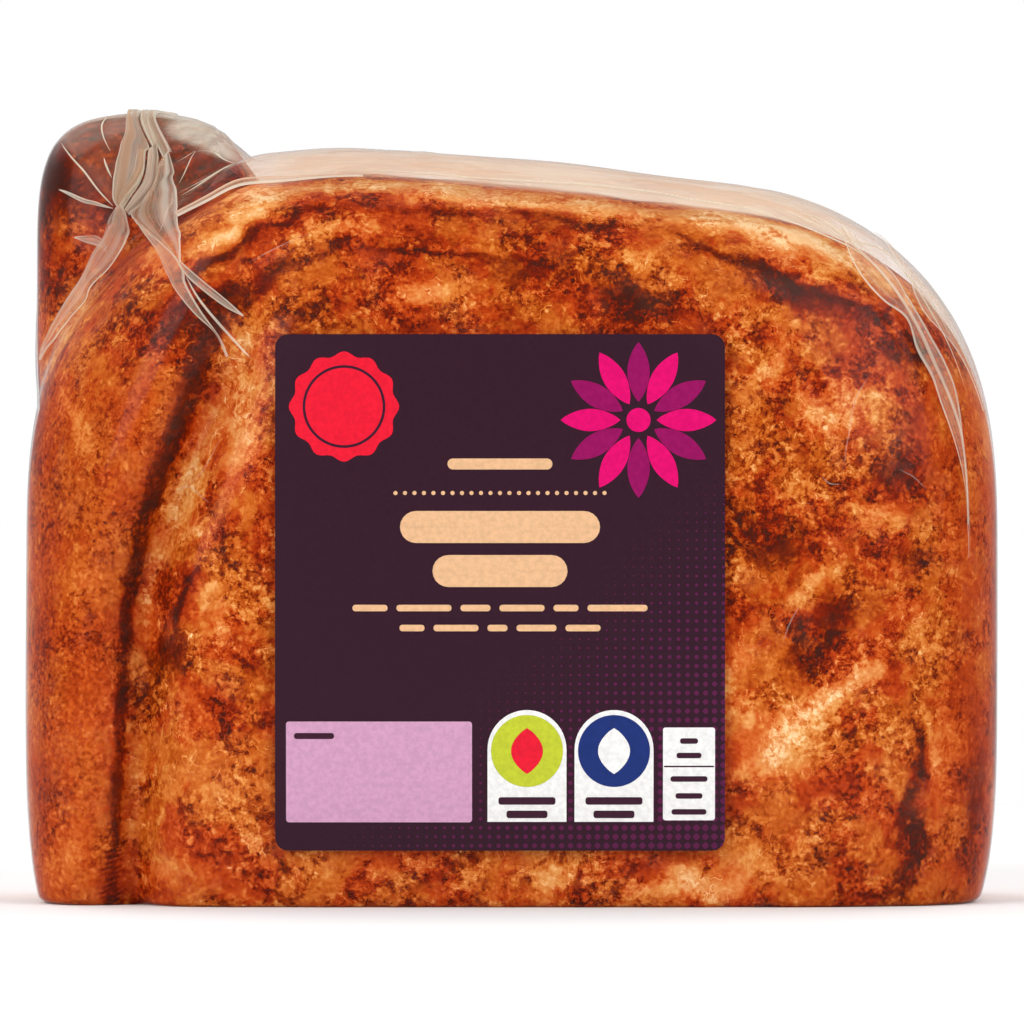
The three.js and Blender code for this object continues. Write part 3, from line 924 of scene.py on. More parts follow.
# %% Film skin
FILM_INSET = 0.12
FILM_FOLD = 0.45  # depth of the folds where the film is slack
TOUCHING = 0.4  # the film sinks by no more than this share of its gap to the meat
BEYOND_MEAT = (-1.2, 0.6)  # how far past the meat's outline the film turns from clear to milky
VEIL_CORNER, VEIL_OUT = (-92.7, 155.4), (0.77, 0.64)  # the veil over the lobe starts past this line
CAP_CORNER, CAP_OUT = (-69.8, 155), (0.38, 0.925)  # and slack film caps its right side past this one
LOOSE_TOP, LOOSE_RIGHT = (116, 146), (98, 128)  # heights over which it comes loose, on top and at right
LOOSE_SIDE, LOBE_TOP = (70, 90), (150, 157)
VALLEY_SIDE, VALLEY_TOP, VALLEY_LEFT = (40, 54), (-156, -152), 0.5  # thinner in the valley by the lobe
RAGGED_SIZE, RAGGED_OUT, RAGGED_UP = 12, 1.6, 6.4  # noise that makes those limits wander
CLING_STRETCH, CLING_SIZE, CLING_SHARE = (0.4, 1, 1), 13, 0.6  # where slack film meets the meat again
CLING_LIMITS = (-0.1, 0.45)
VEIL_MILK, CAP_MILK, CREASE_MILK = 0.34, 1.1, 0.02
VEIL_EDGE, CAP_EDGE = (-0.4, 0.8), (0.4, 2.2)
VEIL_BAND, CAP_BAND = (22, 4), (38, 24)  # depths over which they come in, from the back
VEIL_FOOT = (138, 143)
VEIL_END, VEIL_LEFT = (-71, -64), 0.4  # where the veil thins out again, and what is left of it
CAP_START, CAP_END = (-74, -68), (52, 60)  # the cap's left end, and its right end to the left of x = 0
FOLD_SIZE, FOLD_PULL = 5, (0.12, 1, 0.5)
FOLD_LEAST = 0.25


def past(corner, out):
    """How far points lie past a line on the front."""
    return (x - corner[0]) * out[0] + (z - corner[1]) * out[1]


film_plain, _ = surface_points(block_points, FILM)
x, y, z = film_plain.T
gap = np.linalg.norm(film_plain - meat_points, axis=1)
behind = ramp(y, *PATCH_BAND[::-1])
ragged = lumps(film_plain, RAGGED_SIZE, 3, 61) * behind
beyond = ramp(past_outline(film_plain) + RAGGED_OUT * ragged, *BEYOND_MEAT)
height = z + RAGGED_UP * ragged
loose_right = ramp(x, *LOOSE_SIDE) * ramp(height, *LOOSE_RIGHT)
loose = np.maximum(ramp(height, *LOOSE_TOP), loose_right)
clinging = ramp(lumps(film_plain * CLING_STRETCH, CLING_SIZE, 3, 81), *CLING_LIMITS)
loose *= 1 - CLING_SHARE * clinging * behind
loose *= 1 - on_lobe * (1 - ramp(z, *LOBE_TOP))
loose *= 1 - (1 - VALLEY_LEFT) * ramp(-x, *VALLEY_SIDE) * ramp(-z, *VALLEY_TOP)
veiled = on_lobe * ramp(past(VEIL_CORNER, VEIL_OUT), *VEIL_EDGE) * ramp(y, *VEIL_BAND)
veiled *= (1 - (1 - VEIL_LEFT) * ramp(x, *VEIL_END)) * ramp(z, *VEIL_FOOT)
capped = ramp(past(CAP_CORNER, CAP_OUT), *CAP_EDGE) * ramp(y, *CAP_BAND) * behind
capped *= ramp(x, *CAP_START) * ramp(-x, *CAP_END)
slack = [beyond * loose, VEIL_MILK * veiled, CAP_MILK * capped, CREASE_MILK * crease_shade_mask]
slack = np.maximum.reduce(slack)
folds = ramp(np.abs(lumps(streak_places * FOLD_PULL, FOLD_SIZE, 3, 51)), 0, 0.5)
film_sunk = FILM_INSET + FILM_FOLD * (FOLD_LEAST + (1 - FOLD_LEAST) * slack) * folds
film_sunk = np.minimum(film_sunk, TOUCHING * gap)
film_points, _ = surface_points(block_points, FILM, -film_sunk)
print("between the film's form and the meat there are up to", round(gap.max(), 1), "mm")

# %% [markdown]
# Clear film is hard to paint well, because almost nothing of it shows. Three things do: a
# mirror-like gloss that grows towards its edges, milk where it is slack, and creases that catch
# the light. The milk is a share of scattered light over a see-through surface, so the meat still
# shows behind it. It is thinner where light crosses the film straight on, and tan in places,
# where the glaze tints it. Layer Weight says how slanted a surface is seen, as Fresnel does.

# %% Film shaders
MILK = screen(237, 230, 213)
TAN_MILK = screen(212, 164, 122)
TAN_LEAST, TAN_SLACK = 0.25, 0.55
LIGHT_THROUGH = 0.42  # the share of scattered light that goes on through the film
MIRROR_LEAST, GRAZING = 0.006, 11  # light mirrored straight on, and the power that adds the rest
FILM_ROUGH = 0.16
SLANT, THIN_MILK = (0.12, 0.42), 0.36  # milk straight on, and the slants over which it gets full
CLEAR_MILK, SLACK_MILK, LINE_MILK, EDGE_MILK = 0.002, 0.9, 0.12, 0.06
WISPS, WISP_MILK = (0.35, 0.65), 0.3  # the limits of the noise that draws wisps
POCKETS, POCKET_MILK = (8, 2, 0.6, 0.5, 0.66), 0.02  # where the film just lifts off the meat
MOST_MILK = 0.97
FILM_PULL = (0.25, 1, 1.2)  # wisps and creases are drawn out along the streaks
CREASE_SIZE, CREASE_WIDTH = 2, 0.02
CREASE_STRENGTH, CREASE_RELIEF = 0.25, 0.3  # strength, and depth in mm
WISP_NOISE, TAN_NOISE = (5, 3, 0.7), (4, 3, 0.7, 0.4, 0.64)


def mixed(share, first, second):
    """A mix of two shaders."""
    return first.paint.node("MixShader", {}, {0: share, 1: first, 2: second})


def edge_on(paint):
    """0 where a surface is seen straight on, 1 where it is seen from its edge."""
    return paint.node("LayerWeight", {}, {"Blend": 0.5}, out=1)


def scatter(paint, colour):
    """Light that the film scatters: most of it back, the rest on through."""
    near = paint.node("BsdfDiffuse", {}, {"Color": (*colour, 1)})
    through = paint.node("BsdfTranslucent", {}, {"Color": (*colour, 1)})
    return mixed(LIGHT_THROUGH, near, through)


def finish_film(paint, cover, tanned, rough, creased):
    """See-through film with a share of milk, paler or tan, under a gloss alike from both sides."""
    milk = mixed(tanned, scatter(paint, MILK), scatter(paint, TAN_MILK))
    clear = paint.node("BsdfTransparent", {}, {"Color": (1, 1, 1, 1)})
    body = mixed(cover, clear, milk)
    shine = edge_on(paint) ** GRAZING * (1 - MIRROR_LEAST) + MIRROR_LEAST
    gloss = paint.node("BsdfGlossy", {}, {"Roughness": rough, "Normal": creased})
    finish_surface(paint, mixed(shine, body, gloss))


print("straight on, the film mirrors", 100 * MIRROR_LEAST, "percent")

# %% [markdown]
# The bag's own film puts these together. Where it is slack it turns milky, in wisps and thin
# creases that run along the joint's streaks. Elsewhere it is all but clear, apart from small
# pockets where it just lifts off the meat.

# %% Film material
def paint_film(paint):
    pulled = vector_maths("MULTIPLY", named(paint, "streak", "Vector"), FILM_PULL)
    slack_here = named(paint, "slack")
    wisps = spots(pulled, *WISP_NOISE)
    lines = thin_lines(spots(pulled, CREASE_SIZE, 2, 0.5), CREASE_WIDTH)
    slanting = fade(edge_on(paint), *SLANT) * (1 - THIN_MILK) + THIN_MILK
    wispy = fade(wisps, *WISPS) * WISP_MILK + (1 - WISP_MILK)
    milk = slack_here * slanting * (wispy * SLACK_MILK) + CLEAR_MILK
    milk = milk + lines * slack_here * LINE_MILK + edge_on(paint) ** GRAZING * EDGE_MILK
    milk = milk + mask(place(paint), *POCKETS) * POCKET_MILK
    tanned = mask(pulled, *TAN_NOISE) * (1 - TAN_LEAST) + TAN_LEAST
    tanned = tanned * (1 - slack_here * TAN_SLACK)
    creased = bumped(wisps, CREASE_STRENGTH, CREASE_RELIEF)
    finish_film(paint, milk.maths("MINIMUM", MOST_MILK), tanned, FILM_ROUGH, creased)


paint_film(new_paint("clear_film"))
make_piece(
    "film", film_points, block_quads, "clear_film", "bagged_ham",
    {"slack": slack, "streak": streak_places},
)

# %% [markdown]
# ## Gathered film
#
# Where the bag is closed its film is drawn together into pleats, and loose film folds over
# itself. Each such fold is a strip between two edges, drawn as guide points on the bag. Between
# the guides the edges run smoothly, and the strip is laid on the film and lifted into ridges.
# A cloth simulation would find folds too, but not these folds in these places.

# %% Smooth lines on the bag
def on_bag(guide):
    """A guide is x and z for a point on the front, or x, y and z."""
    return np.array(guide) if len(guide) == 3 else front_points(np.array([guide]))[0]


def smooth_path(guides, rows):
    """A smooth line of points through the guides."""
    g = np.array([on_bag(guide) for guide in guides])
    g = np.vstack([2 * g[0] - g[1], g, 2 * g[-1] - g[-2]])
    at = np.linspace(0, len(guides) - 1, rows)
    i = np.minimum(at.astype(int), len(guides) - 2)
    t = (at - i)[:, None]
    a, b, c, d = g[i], g[i + 1], g[i + 2], g[i + 3]
    return b + 0.5 * t * (c - a + t * (2 * a - 5 * b + 4 * c - d + t * (3 * (b - c) + d - a)))


print("a guide on the front:", on_bag((0, 72)).round(1))

# %% [markdown]
# A strip is a grid of points between two such lines. A narrow one lies on the bag, and a wide one
# is pulled straight between its edges. It is lifted a little, and a wave across it makes the
# pleats. A thread is a very narrow strip that tapers to both ends.

# %% Strips of film
STRIP_ROWS, STRIP_SIDES = 72, 20
STREAK_LENGTH = 9  # how much longer than wide the film's streaks are
STRIP_TOP = cad_high.z / MM - 0.08
TAUT_WIDTH = (4, 9)  # a narrow strip lies on the bag, and one wider than this is pulled straight
SWAY, SWAYS = 0.5, 5  # how far the pleats sway sideways along a strip, and how often
FLAT_TOP = 6  # how squarely a strip rises at its edges
FULL_PLEATS = 3  # strips narrower than this have lower pleats


def grid_quads(rows, sides):
    """The quads between rows of points."""
    first = np.arange((rows - 1) * sides).reshape(rows - 1, sides)[:, :-1]
    return np.stack([first, first + 1, first + sides + 1, first + sides], -1).reshape(-1, 4)


def strip(left, right, lift, ridges, height, seed):
    """Points and values of a strip of film between two edges, lifted at its start, middle, end."""
    t = np.linspace(0, 1, STRIP_ROWS)[:, None, None]
    u = np.linspace(0, 1, STRIP_SIDES)[None, :, None]
    left, right = (smooth_path(edge, STRIP_ROWS)[:, None] for edge in (left, right))
    flat = left * (1 - u) + right * u
    laid, out = surface_points(flat.reshape(-1, 3), FILM)
    width = np.linalg.norm(flat[:, -1] - flat[:, 0], axis=1)[:, None]
    taut = np.broadcast_to(ramp(width, *TAUT_WIDTH), (STRIP_ROWS, STRIP_SIDES)).reshape(-1, 1)
    clear_of_bag = bag_form(flat.reshape(-1, 3), FILM)[:, None] > 0
    laid = laid + (flat.reshape(-1, 3) - laid) * taut * clear_of_bag
    middle = flat.mean(1)
    run = np.cumsum(np.linalg.norm(np.diff(middle, axis=0, prepend=middle[:1]), axis=1))
    u, t = u[..., 0], t[..., 0]
    wave = np.sin(math.pi * ridges * u + SWAY * np.sin(SWAYS * t + seed)) ** 2
    raised = np.interp(t, [0, 0.5, 1], lift) * (1 - (2 * u - 1) ** FLAT_TOP)
    raised = raised + height * wave * np.minimum(1, width / FULL_PLEATS)
    points = laid + out * raised.reshape(-1, 1)
    points[:, 2] = np.minimum(points[:, 2], STRIP_TOP)
    side = (width * (0.5 - np.abs(u - 0.5))).ravel()
    across = (u - 0.5) * width.max()
    place_on = np.stack(np.broadcast_arrays(run[:, None] / STREAK_LENGTH, across, seed), -1)
    return points, side, place_on.reshape(-1, 3)


def thread(guides, width=0.5, lift=0.3):
    """A strip along one line of guides, this many millimetres wide, that tapers to its ends."""
    flat = smooth_path(guides, 2 * len(guides) + 3)
    along = np.gradient(flat[:, [0, 2]], axis=0)
    across = along[:, ::-1] * [1, -1] / np.linalg.norm(along, axis=1, keepdims=True)
    taper = np.sin(np.linspace(0.05, math.pi - 0.05, len(flat)))[:, None] ** 0.7
    beside = np.insert(across * width / 2 * taper, 1, 0, axis=1)
    return [tuple(g) for g in flat - beside], [tuple(g) for g in flat + beside], (0, lift, 0), 1, 0.1


def gather(name, strips, finish):
    """One piece from several strips."""
    made = [strip(*one, seed=7.3 * i) for i, one in enumerate(strips)]
    quads = grid_quads(STRIP_ROWS, STRIP_SIDES)
    faces = np.concatenate([quads + i * STRIP_ROWS * STRIP_SIDES for i in range(len(made))])
    points, side, streak = (np.concatenate(column) for column in zip(*made))
    return make_piece(
        name, points, faces, finish, "bagged_ham", {"side": side, "streak": streak}
    )


print("strips have", STRIP_ROWS * STRIP_SIDES, "points each")

# %% [markdown]
# Gathered film is the same film in several layers, so it is milky from side to side. It is
# whitest along the hem of each strip and along its creases, and it gets thinner from the packed
# pleats above down to the loose strands. Three finishes differ only in how much they cover.

# %% Gathered film material
FAN_FOOT, LOOSE_SHARE = (130, 146), 0.6  # heights over which loose strands become packed pleats
HEM = (0.12, 0.42)  # how far in from a strip's edge its hem ends
GATHER_PULL = (0.2, 1, 1)
WISP_SIZE, LINE_SIZE, LINE_WIDTH, LINE_RELIEF = 3.2, 1.8, 0.03, 0.4
TAN_SPOTS = (2.6, 1, 0.5, 0.3, 0.7)
GATHER_GRAZING, GATHER_STRENGTH = 6, 0.3
GATHER_ROUGH, GATHER_EDGE, GATHER_TAN, GATHER_MOST = 0.2, 0.15, 0.75, 0.95
GATHERED = {  # least and most cover, and what the hem adds
    "pleated_film": (0.34, 0.7, 0.5),
    "thin_film": (0.2, 0.5, 0.5),
    "fine_film": (0.08, 0.2, 0.14),
}


def paint_gathered(paint, cover_least, cover_most, hem_cover):
    hem = 1 - fade(named(paint, "side"), *HEM)
    pulled = vector_maths("MULTIPLY", named(paint, "streak", "Vector"), GATHER_PULL)
    wisps = spots(pulled, WISP_SIZE, 2, 0.5)
    lines = thin_lines(spots(pulled, LINE_SIZE, 0, 0.5), LINE_WIDTH)
    milk = fade(wisps, *WISPS) * (cover_most - cover_least) + cover_least
    packed = fade(part(place(paint), "Z"), *FAN_FOOT) * (1 - LOOSE_SHARE) + LOOSE_SHARE
    milk = milk * packed + hem * hem_cover + lines * LINE_MILK
    milk = milk + edge_on(paint) ** GATHER_GRAZING * GATHER_EDGE
    tanned = (1 - hem) * mask(pulled, *TAN_SPOTS) * GATHER_TAN
    creased = bumped(wisps + lines * LINE_RELIEF, GATHER_STRENGTH, CREASE_RELIEF)
    finish_film(paint, milk.maths("MINIMUM", GATHER_MOST), tanned, GATHER_ROUGH, creased)


for finish, covers in GATHERED.items():
    paint_gathered(new_paint(finish), *covers)
print("gathered finishes:", list(GATHERED))

# %% [markdown]
# The bag is closed over the lobe. Its film is drawn together at a knot, with a fan of packed
# pleats above it. Two strips of the fan share their middle line, run over the top and end in one
# point on the back. A third goes on below the knot as a thin veil, and a short twisted fold lies
# across them.

# %% The fan over the lobe
# Each strip: its left edge, its right edge, its lift at the start, the middle and the end, its
# number of ridges and their height.
TAIL = (-78.5, 50, 126)  # the pleats end in a point on the back
OVER_TOP = [(-75.6, 24, 161.9), (-75.6, 38, 158), (-76, 47, 150), (-77.5, 50, 138), TAIL]
KNOT_TO_TOP = [
    (-79.6, 141.1), (-78.2, 143.5), (-76.2, 146.5), (-75.3, 149.6), (-75, 153.1), (-75.2, 156.2),
    (-76, 9.6, 161.9), *OVER_TOP,
]
FAN = [
    (  # the fan's left part
        [(-80.6, 141.4), (-81.7, 143.5), (-81.7, 146.9), (-81.2, 150.3), (-80.3, 154.5), (-79.3, 158.8),
         (-78.6, 9.6, 161.8), (-79.5, 24, 161.6), (-81, 38, 157), (-82, 47, 149), (-80, 50, 138), TAIL],
        KNOT_TO_TOP, (0.8, 1.2, 0.3), 2, 0.3,
    ),
    (  # its middle
        [(x + 0.4, *rest) for x, *rest in KNOT_TO_TOP],
        [(-78.2, 140), (-75.5, 142.4), (-73.1, 145.5), (-72.5, 149.3), (-72.6, 153.5), (-73.6, 157.5),
         (-74, 9.6, 161.9), (-73, 24, 161.9), (-72.5, 38, 158), (-72.5, 47, 150), (-75, 50, 138), TAIL],
        (0.8, 1.0, 0.3), 2, 0.3,
    ),
    (  # its right part, which goes on below the knot as a veil
        [(-68, 47, 147), (-72.5, 38, 158), (-73, 24, 161.9), (-74, 9.6, 161.9), (-72.8, 154.5),
         (-72.7, 149.3), (-74, 145.1), (-76.3, 142), (-77.2, 139.1), (-74, 136.1), (-69.7, 132.4),
         (-66.2, 128.9)],
        [(-67.6, 47, 147), (-68, 38, 157.6), (-69, 24, 161.4), (-72.2, 9.7, 161.6), (-71.2, 156),
         (-70.2, 152.8), (-69.1, 149.2), (-68.5, 145.4), (-67.7, 140.8), (-67, 136.5), (-66.3, 133.1),
         (-65.9, 128.7)],
        (0.3, 1.0, 0.3), 2, 0.25,
    ),
    (  # a twisted fold
        [(-76.6, 153.4), (-77.3, 150.3), (-78, 148), (-79.4, 145.7), (-80.6, 143.5)],
        [(-75, 153.2), (-75.2, 149.6), (-76.2, 146.9), (-77.9, 144.6), (-80, 141.8)],
        (0.8, 2.2, 1.2), 1, 0.6,
    ),
]
gather("fan", FAN, "pleated_film")

# %% [markdown]
# Below the knot the film spreads again, in loose strands that cross the roll's shoulder and run
# down to the crease. Where a strand ends, the film lies smooth on the meat.

# %% The strands below the knot
STRANDS = [
    (  # down the roll's shoulder
        [(-80.6, 142), (-82.6, 139), (-83.1, 135.6), (-85.3, 131.9), (-87.2, 126.8), (-90.7, 122.4),
         (-93.5, 118), (-95.4, 114.6), (-96.8, 110.8)],
        [(-79.4, 141.6), (-78.1, 137.2), (-79, 132.9), (-81.6, 128.7), (-85.4, 125.1), (-86.6, 122),
         (-90.8, 117.5), (-94.2, 113.6), (-96.5, 110.5)],
        (1.4, 1, 0.3), 2, 0.5,
    ),
    (  # down to the crease
        [(-77.3, 139.1), (-72.5, 133.2), (-69.3, 127.4), (-67.2, 123.7), (-63.4, 118.9), (-59.7, 115.3),
         (-58, 110.9)],
        [(-76.6, 139), (-70.8, 133.9), (-65.9, 128.4), (-64.8, 124.6), (-62.1, 119.6), (-59, 114.9),
         (-57.5, 111.1)],
        (1.2, 1, 0.3), 2, 0.4,
    ),
    (  # its branch
        [(-66.4, 128.2), (-63.6, 125), (-58.2, 120.9), (-54.1, 118.8)],
        [(-65.6, 128.8), (-62.4, 126), (-57.2, 121.9), (-53.9, 119)],
        (0.6, 0.6, 0.3), 1, 0.3,
    ),
    (  # the pale band from the fan to the top of the meat
        [(-67.3, 138.8), (-60.4, 140.9), (-53.7, 143.9), (-44.8, 145.9), (-30, 147)],
        [(-67.4, 139.7), (-60.5, 142), (-53.8, 145), (-44.8, 146.9), (-30, 147.3)],
        (0.6, 0.6, 0.2), 1, 0.3,
    ),
    (  # torn flakes of film beside the knot
        [(-89.4, 135.4), (-87, 134.4), (-84.4, 133.6), (-82.6, 132.4)],
        [(-89.2, 135.7), (-86.6, 135.9), (-84.4, 135.6), (-82.6, 133.4)],
        (0.6, 0.9, 0.4), 2, 0.4,
    ),
    thread([(-92.9, 145.5), (-88.5, 143.5), (-85.1, 142.5), (-81.6, 141.5)], 0.9, 0.6),
    thread([(-64.8, 126), (-61.8, 120.9), (-55, 112.9), (-53, 110.9)], 0.5),
]
gather("strands", STRANDS, "pleated_film")

# %% [markdown]
# Tight film also has sharp little wrinkles: where it bridges a dip, or pulls from the gather.
# Each is a thin raised thread of film. They lie here and there on the front, along the meat's
# top edge, and round the lobe.

# %% Wrinkles
LONG_WRINKLES = [
    [(-92.7, 155.4), (-90.3, 152.1), (-87.5, 149), (-84, 144.5), (-81.6, 142)],
    [(-82.9, 2.9, 160.2), (-82.3, 153.4)], [(-83.6, 152), (-81.9, 147.8)],
    [(-68.1, 144.4), (-61.2, 147.7), (-56.2, 150.3), (-52.6, 151.6)],
    [(-67.8, 143.7), (-62.6, 146.2), (-56.6, 148.9)],
    [(-68.8, 150.9), (-66.6, 152.2), (-64.8, 153.5)], [(-64.8, 153.4), (-66.7, 149.4), (-68.1, 146.5)],
    [(-64.6, 153.4), (-61.1, 153), (-59.4, 151.7), (-56.5, 150.4)],
    [(-68.5, 145.4), (-69.3, 143.3), (-70.1, 139.2), (-71.2, 135.7)],
    [(-46, 147.2), (-22.6, 148), (-2.4, 146.4), (25.8, 144.3), (37.9, 142.2), (50.4, 140),
     (59.1, 137.3)],
    [(53.1, 141.2), (58.1, 138.8), (63.4, 136.3), (66.6, 134.1)],
    [(58.2, 139.8), (62.7, 138.4), (67.8, 134.1), (72.2, 129.6)],
]
SHORT_WRINKLES = [
    [(71.4, 106.4), (68.8, 101.8), (67.2, 93.6), (66.4, 88)], [(62.1, 86.4), (63.6, 85.1), (65.7, 84.9)],
    [(-70, 82.8), (-68.3, 84), (-65.8, 84.5), (-60.9, 81.2)],
    [(-59.3, 93.9), (-62.6, 88.2), (-66.3, 84.9)],
    [(-52.6, 129.4), (-47.6, 132.2), (-40.5, 135.4)],
    [(57.6, 60.6), (55.6, 57.2), (54.2, 53.4)], [(77.6, 88), (80.7, 86.4), (83.3, 83.9)],
]
SHOULDER_WRINKLES = [  # along the outline, round the right shoulder
    [(36.8, 142.6), (46.6, 140.6), (55.8, 138), (64.2, 134.6), (70.2, 131.6), (76.4, 125.4),
     (82.4, 115.6)],
    [(55.8, 142.2), (61.2, 138.4), (67.2, 134.6), (74.8, 132.4), (79.4, 127.8), (86.2, 119.4),
     (90, 111.8)],
    [(77.8, 129.6), (81.6, 124.8), (84.8, 119.4), (87.8, 114), (91.6, 104.2)],
]
BACK_WRINKLES = [  # on the back, from the gather and round the upper corners
    [(-74, 50, 136), (-66, 51, 128), (-58, 52, 114)], [(-84, 49, 140), (-88, 50, 128), (-90, 50, 112)],
    [(-50, 44, 148), (-20, 44, 149), (12, 44, 147), (40, 44, 143)],
    [(46, 46, 142), (62, 47, 135), (76, 47, 123), (85, 46, 108), (89, 45, 92)],
    [(62, 42, 139), (76, 42, 129), (86, 41, 115), (92, 40, 98)],
    [(20, 47, 143), (38, 48, 139), (54, 49, 131)],
]
wrinkles = [thread(line, 0.4) for line in LONG_WRINKLES + SHOULDER_WRINKLES]
fine = [thread(line, 0.3, 0.15) for line in SHORT_WRINKLES]
fine += [thread(line, 0.5) for line in BACK_WRINKLES]
gather("wrinkles", wrinkles, "pleated_film")
gather("fine_wrinkles", fine, "fine_film")

# %% [markdown]
# Round the right shoulder the slack film of the top gathers into long folds that thin out down
# the side. Two of them share their middle line, so that no gap shows between them, and a shorter
# one lies outside them. Their film covers less than the fan's, because here it is only doubled.

# %% The folds round the right shoulder
OUTER_LINE = [(66.2, 136.3), (68.1, 131.2), (70.6, 126.5), (74.7, 121.9), (79.4, 118.3), (81.4, 112.1),
              (84.5, 106.5), (86.5, 100.8), (89.7, 91.6), (91.3, 84.4), (91.8, 76.7), (92.1, 70)]
MIDDLE_LINE = [(66.7, 136.8), (69.2, 132.9), (74.3, 127.6), (79.4, 120.4), (84, 111.1), (86.6, 105.5),
               (89.7, 97.3), (91, 91.1), (91.9, 77)]
INNER_LINE = [(66.8, 137.4), (72.4, 131.8), (77, 127.2), (80, 122), (84.1, 114.8), (87.2, 109.1),
              (89.3, 103.5), (90.3, 96.8), (91, 91.1), (91.9, 77)]
SHOULDER = [
    (OUTER_LINE, MIDDLE_LINE, (0.3, 0.7, 0.2), 1, 0.3),
    (MIDDLE_LINE, INNER_LINE, (0.4, 0.9, 0.2), 1, 0.4),
    (
        [(73.7, 136.5), (77.3, 131.5), (80.3, 127.3), (81.2, 123.6), (83.7, 118.9), (89, 113.3),
         (92.2, 108.2), (95.4, 100)],
        [(77.3, 131.5), (81.6, 126.6), (85.5, 122.1), (89.7, 114.8), (93.2, 107.6), (96.4, 98)],
        (0.2, 0.6, 0.2), 1, 0.3,
    ),
]
gather("shoulder_folds", SHOULDER, "thin_film")

# %% [markdown]
# ## The label
#
# The label is a sheet of coated dark paper stuck on the film, so it bends with the front. Its
# print is fields of flat colour, and each field is a thin mesh a few hundredths of a millimetre
# proud of the paper. Print could be an image on the sheet, but meshes stay sharp at any distance
# and need no file. Every field here is a shape that can be drawn from its own middle outwards, so
# one function fills them all: rings of points that grow from the middle to the outline.

# %% Fields of print
LABEL_LOW, LABEL_HIGH = (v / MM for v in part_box("label"))


def filled(outline, lift, rings):
    """Points and faces of a field inside a closed outline of x and z, laid over the front."""
    outline = np.asarray(outline)
    middle = outline.mean(0)
    grown = [middle + (outline - middle) * i / rings for i in range(1, rings + 1)]
    flat = np.vstack([middle, *grown])
    points = front_points(flat)
    points[:, 1] -= lift
    n = len(outline)
    around = np.arange(n)
    beside = (around + 1) % n
    hub = [[0, 1 + a, 1 + b] for a, b in zip(around, beside)]
    bands = [
        [1 + i * n + a, 1 + (i + 1) * n + a, 1 + (i + 1) * n + b, 1 + i * n + b]
        for i in range(rings - 1)
        for a, b in zip(around, beside)
    ]
    return points, hub + bands


print("label from", [round(v, 1) for v in LABEL_LOW], "to", [round(v, 1) for v in LABEL_HIGH])

# %% [markdown]
# The outlines are plain: rectangles with round corners, discs, petals and tags. Each is a list of
# points in x and z. Long straight sides are split up, because a side with no points between its
# ends couldn't bend with the front.

# %% Outlines of the fields
def split_long(line, longest=3):
    """The same closed outline with no side longer than this."""
    split = []
    for a, b in zip(line, line[1:] + line[:1]):
        parts = max(1, math.ceil(math.dist(a, b) / longest))
        split += [tuple(np.array(a) + (np.array(b) - a) * i / parts) for i in range(parts)]
    return split


def oblong(x, z, width, height, corner, steps=6):
    """An upright rectangle with round corners, its sides split up so that it can bend."""
    w, h = width / 2 - corner, height / 2 - corner
    line = []
    for sx, sz, start in [(1, 1, 0), (-1, 1, 90), (-1, -1, 180), (1, -1, 270)]:
        for a in np.radians(np.linspace(start, start + 90, steps)):
            line.append((x + sx * w + corner * math.cos(a), z + sz * h + corner * math.sin(a)))
    return split_long(line)


def wavy_disc(x, z, radius, waves=0, depth=0.0, steps=96):
    """A round field, or one whose edge runs in waves."""
    a = np.linspace(0, 2 * math.pi, steps, endpoint=False)
    r = radius + depth * np.cos(waves * a)
    return np.stack([x + r * np.cos(a), z + r * np.sin(a)], -1)


def petal(x, z, turn, start, end, width, steps=16):
    """A pointed leaf that lies on a ray from x, z."""
    t = np.linspace(0, 1, steps)
    along = start + (end - start) * t
    half = width / 2 * np.sin(math.pi * t) ** 0.8
    far = np.concatenate([along, along[-2:0:-1]])
    beside = np.concatenate([half, -half[-2:0:-1]])
    c, s = math.cos(math.radians(turn)), math.sin(math.radians(turn))
    return np.stack([x + far * c - beside * s, z + far * s + beside * c], -1)


def arch(x, z, width, height, steps=24):
    """A tag with a round top; z is its foot."""
    r = width / 2
    top = np.linspace(0, math.pi, steps)
    line = [(x - r, z), (x + r, z)]
    line += [(x + r * math.cos(a), z + height - r + r * math.sin(a)) for a in top]
    return split_long(line)


TAG_SIZE = (15.8, 22.4)  # width and height
print("a tag's outline has", len(arch(0, 0, *TAG_SIZE)), "points")

# %% [markdown]
# Coated paper has a satin surface that is almost flat. A press lays down ink as fine dots, so
# the ground carries a dot screen that fades out towards the top left. The inks are even, apart
# from a slight mottle.

# %% Paper and inks
PLUM = screen(44, 18, 32)
PLUM_DOT = screen(92, 24, 70)
PLUM_FIBRE = screen(66, 36, 52)
DOT_PITCH = 0.9
DOT_SLOPE, DOT_START = 0.011, 0.75  # the dots grow towards the bottom right
DOT_GROWTH, DOT_EDGE, DOT_INK = 0.9, (0.95, 1.1), 0.8
FIBRES, FIBRE_INK, FIBRE_LEAST = (0.8, 4, 0.7), 0.3, 0.1
MOTTLES, MOTTLE_LIMITS, MOTTLE_DARK = (1.1, 4, 0.7), (0.35, 0.65), 0.86
PAPER_ROUGH, INK_ROUGH, ROUGH_CHANGE = 0.42, 0.36, 0.2
PAPER_RELIEF, INK_RELIEF = (0.12, 0.1), (0.1, 0.1)  # strength, and depth in mm
PRINT_SHINE = 0.12


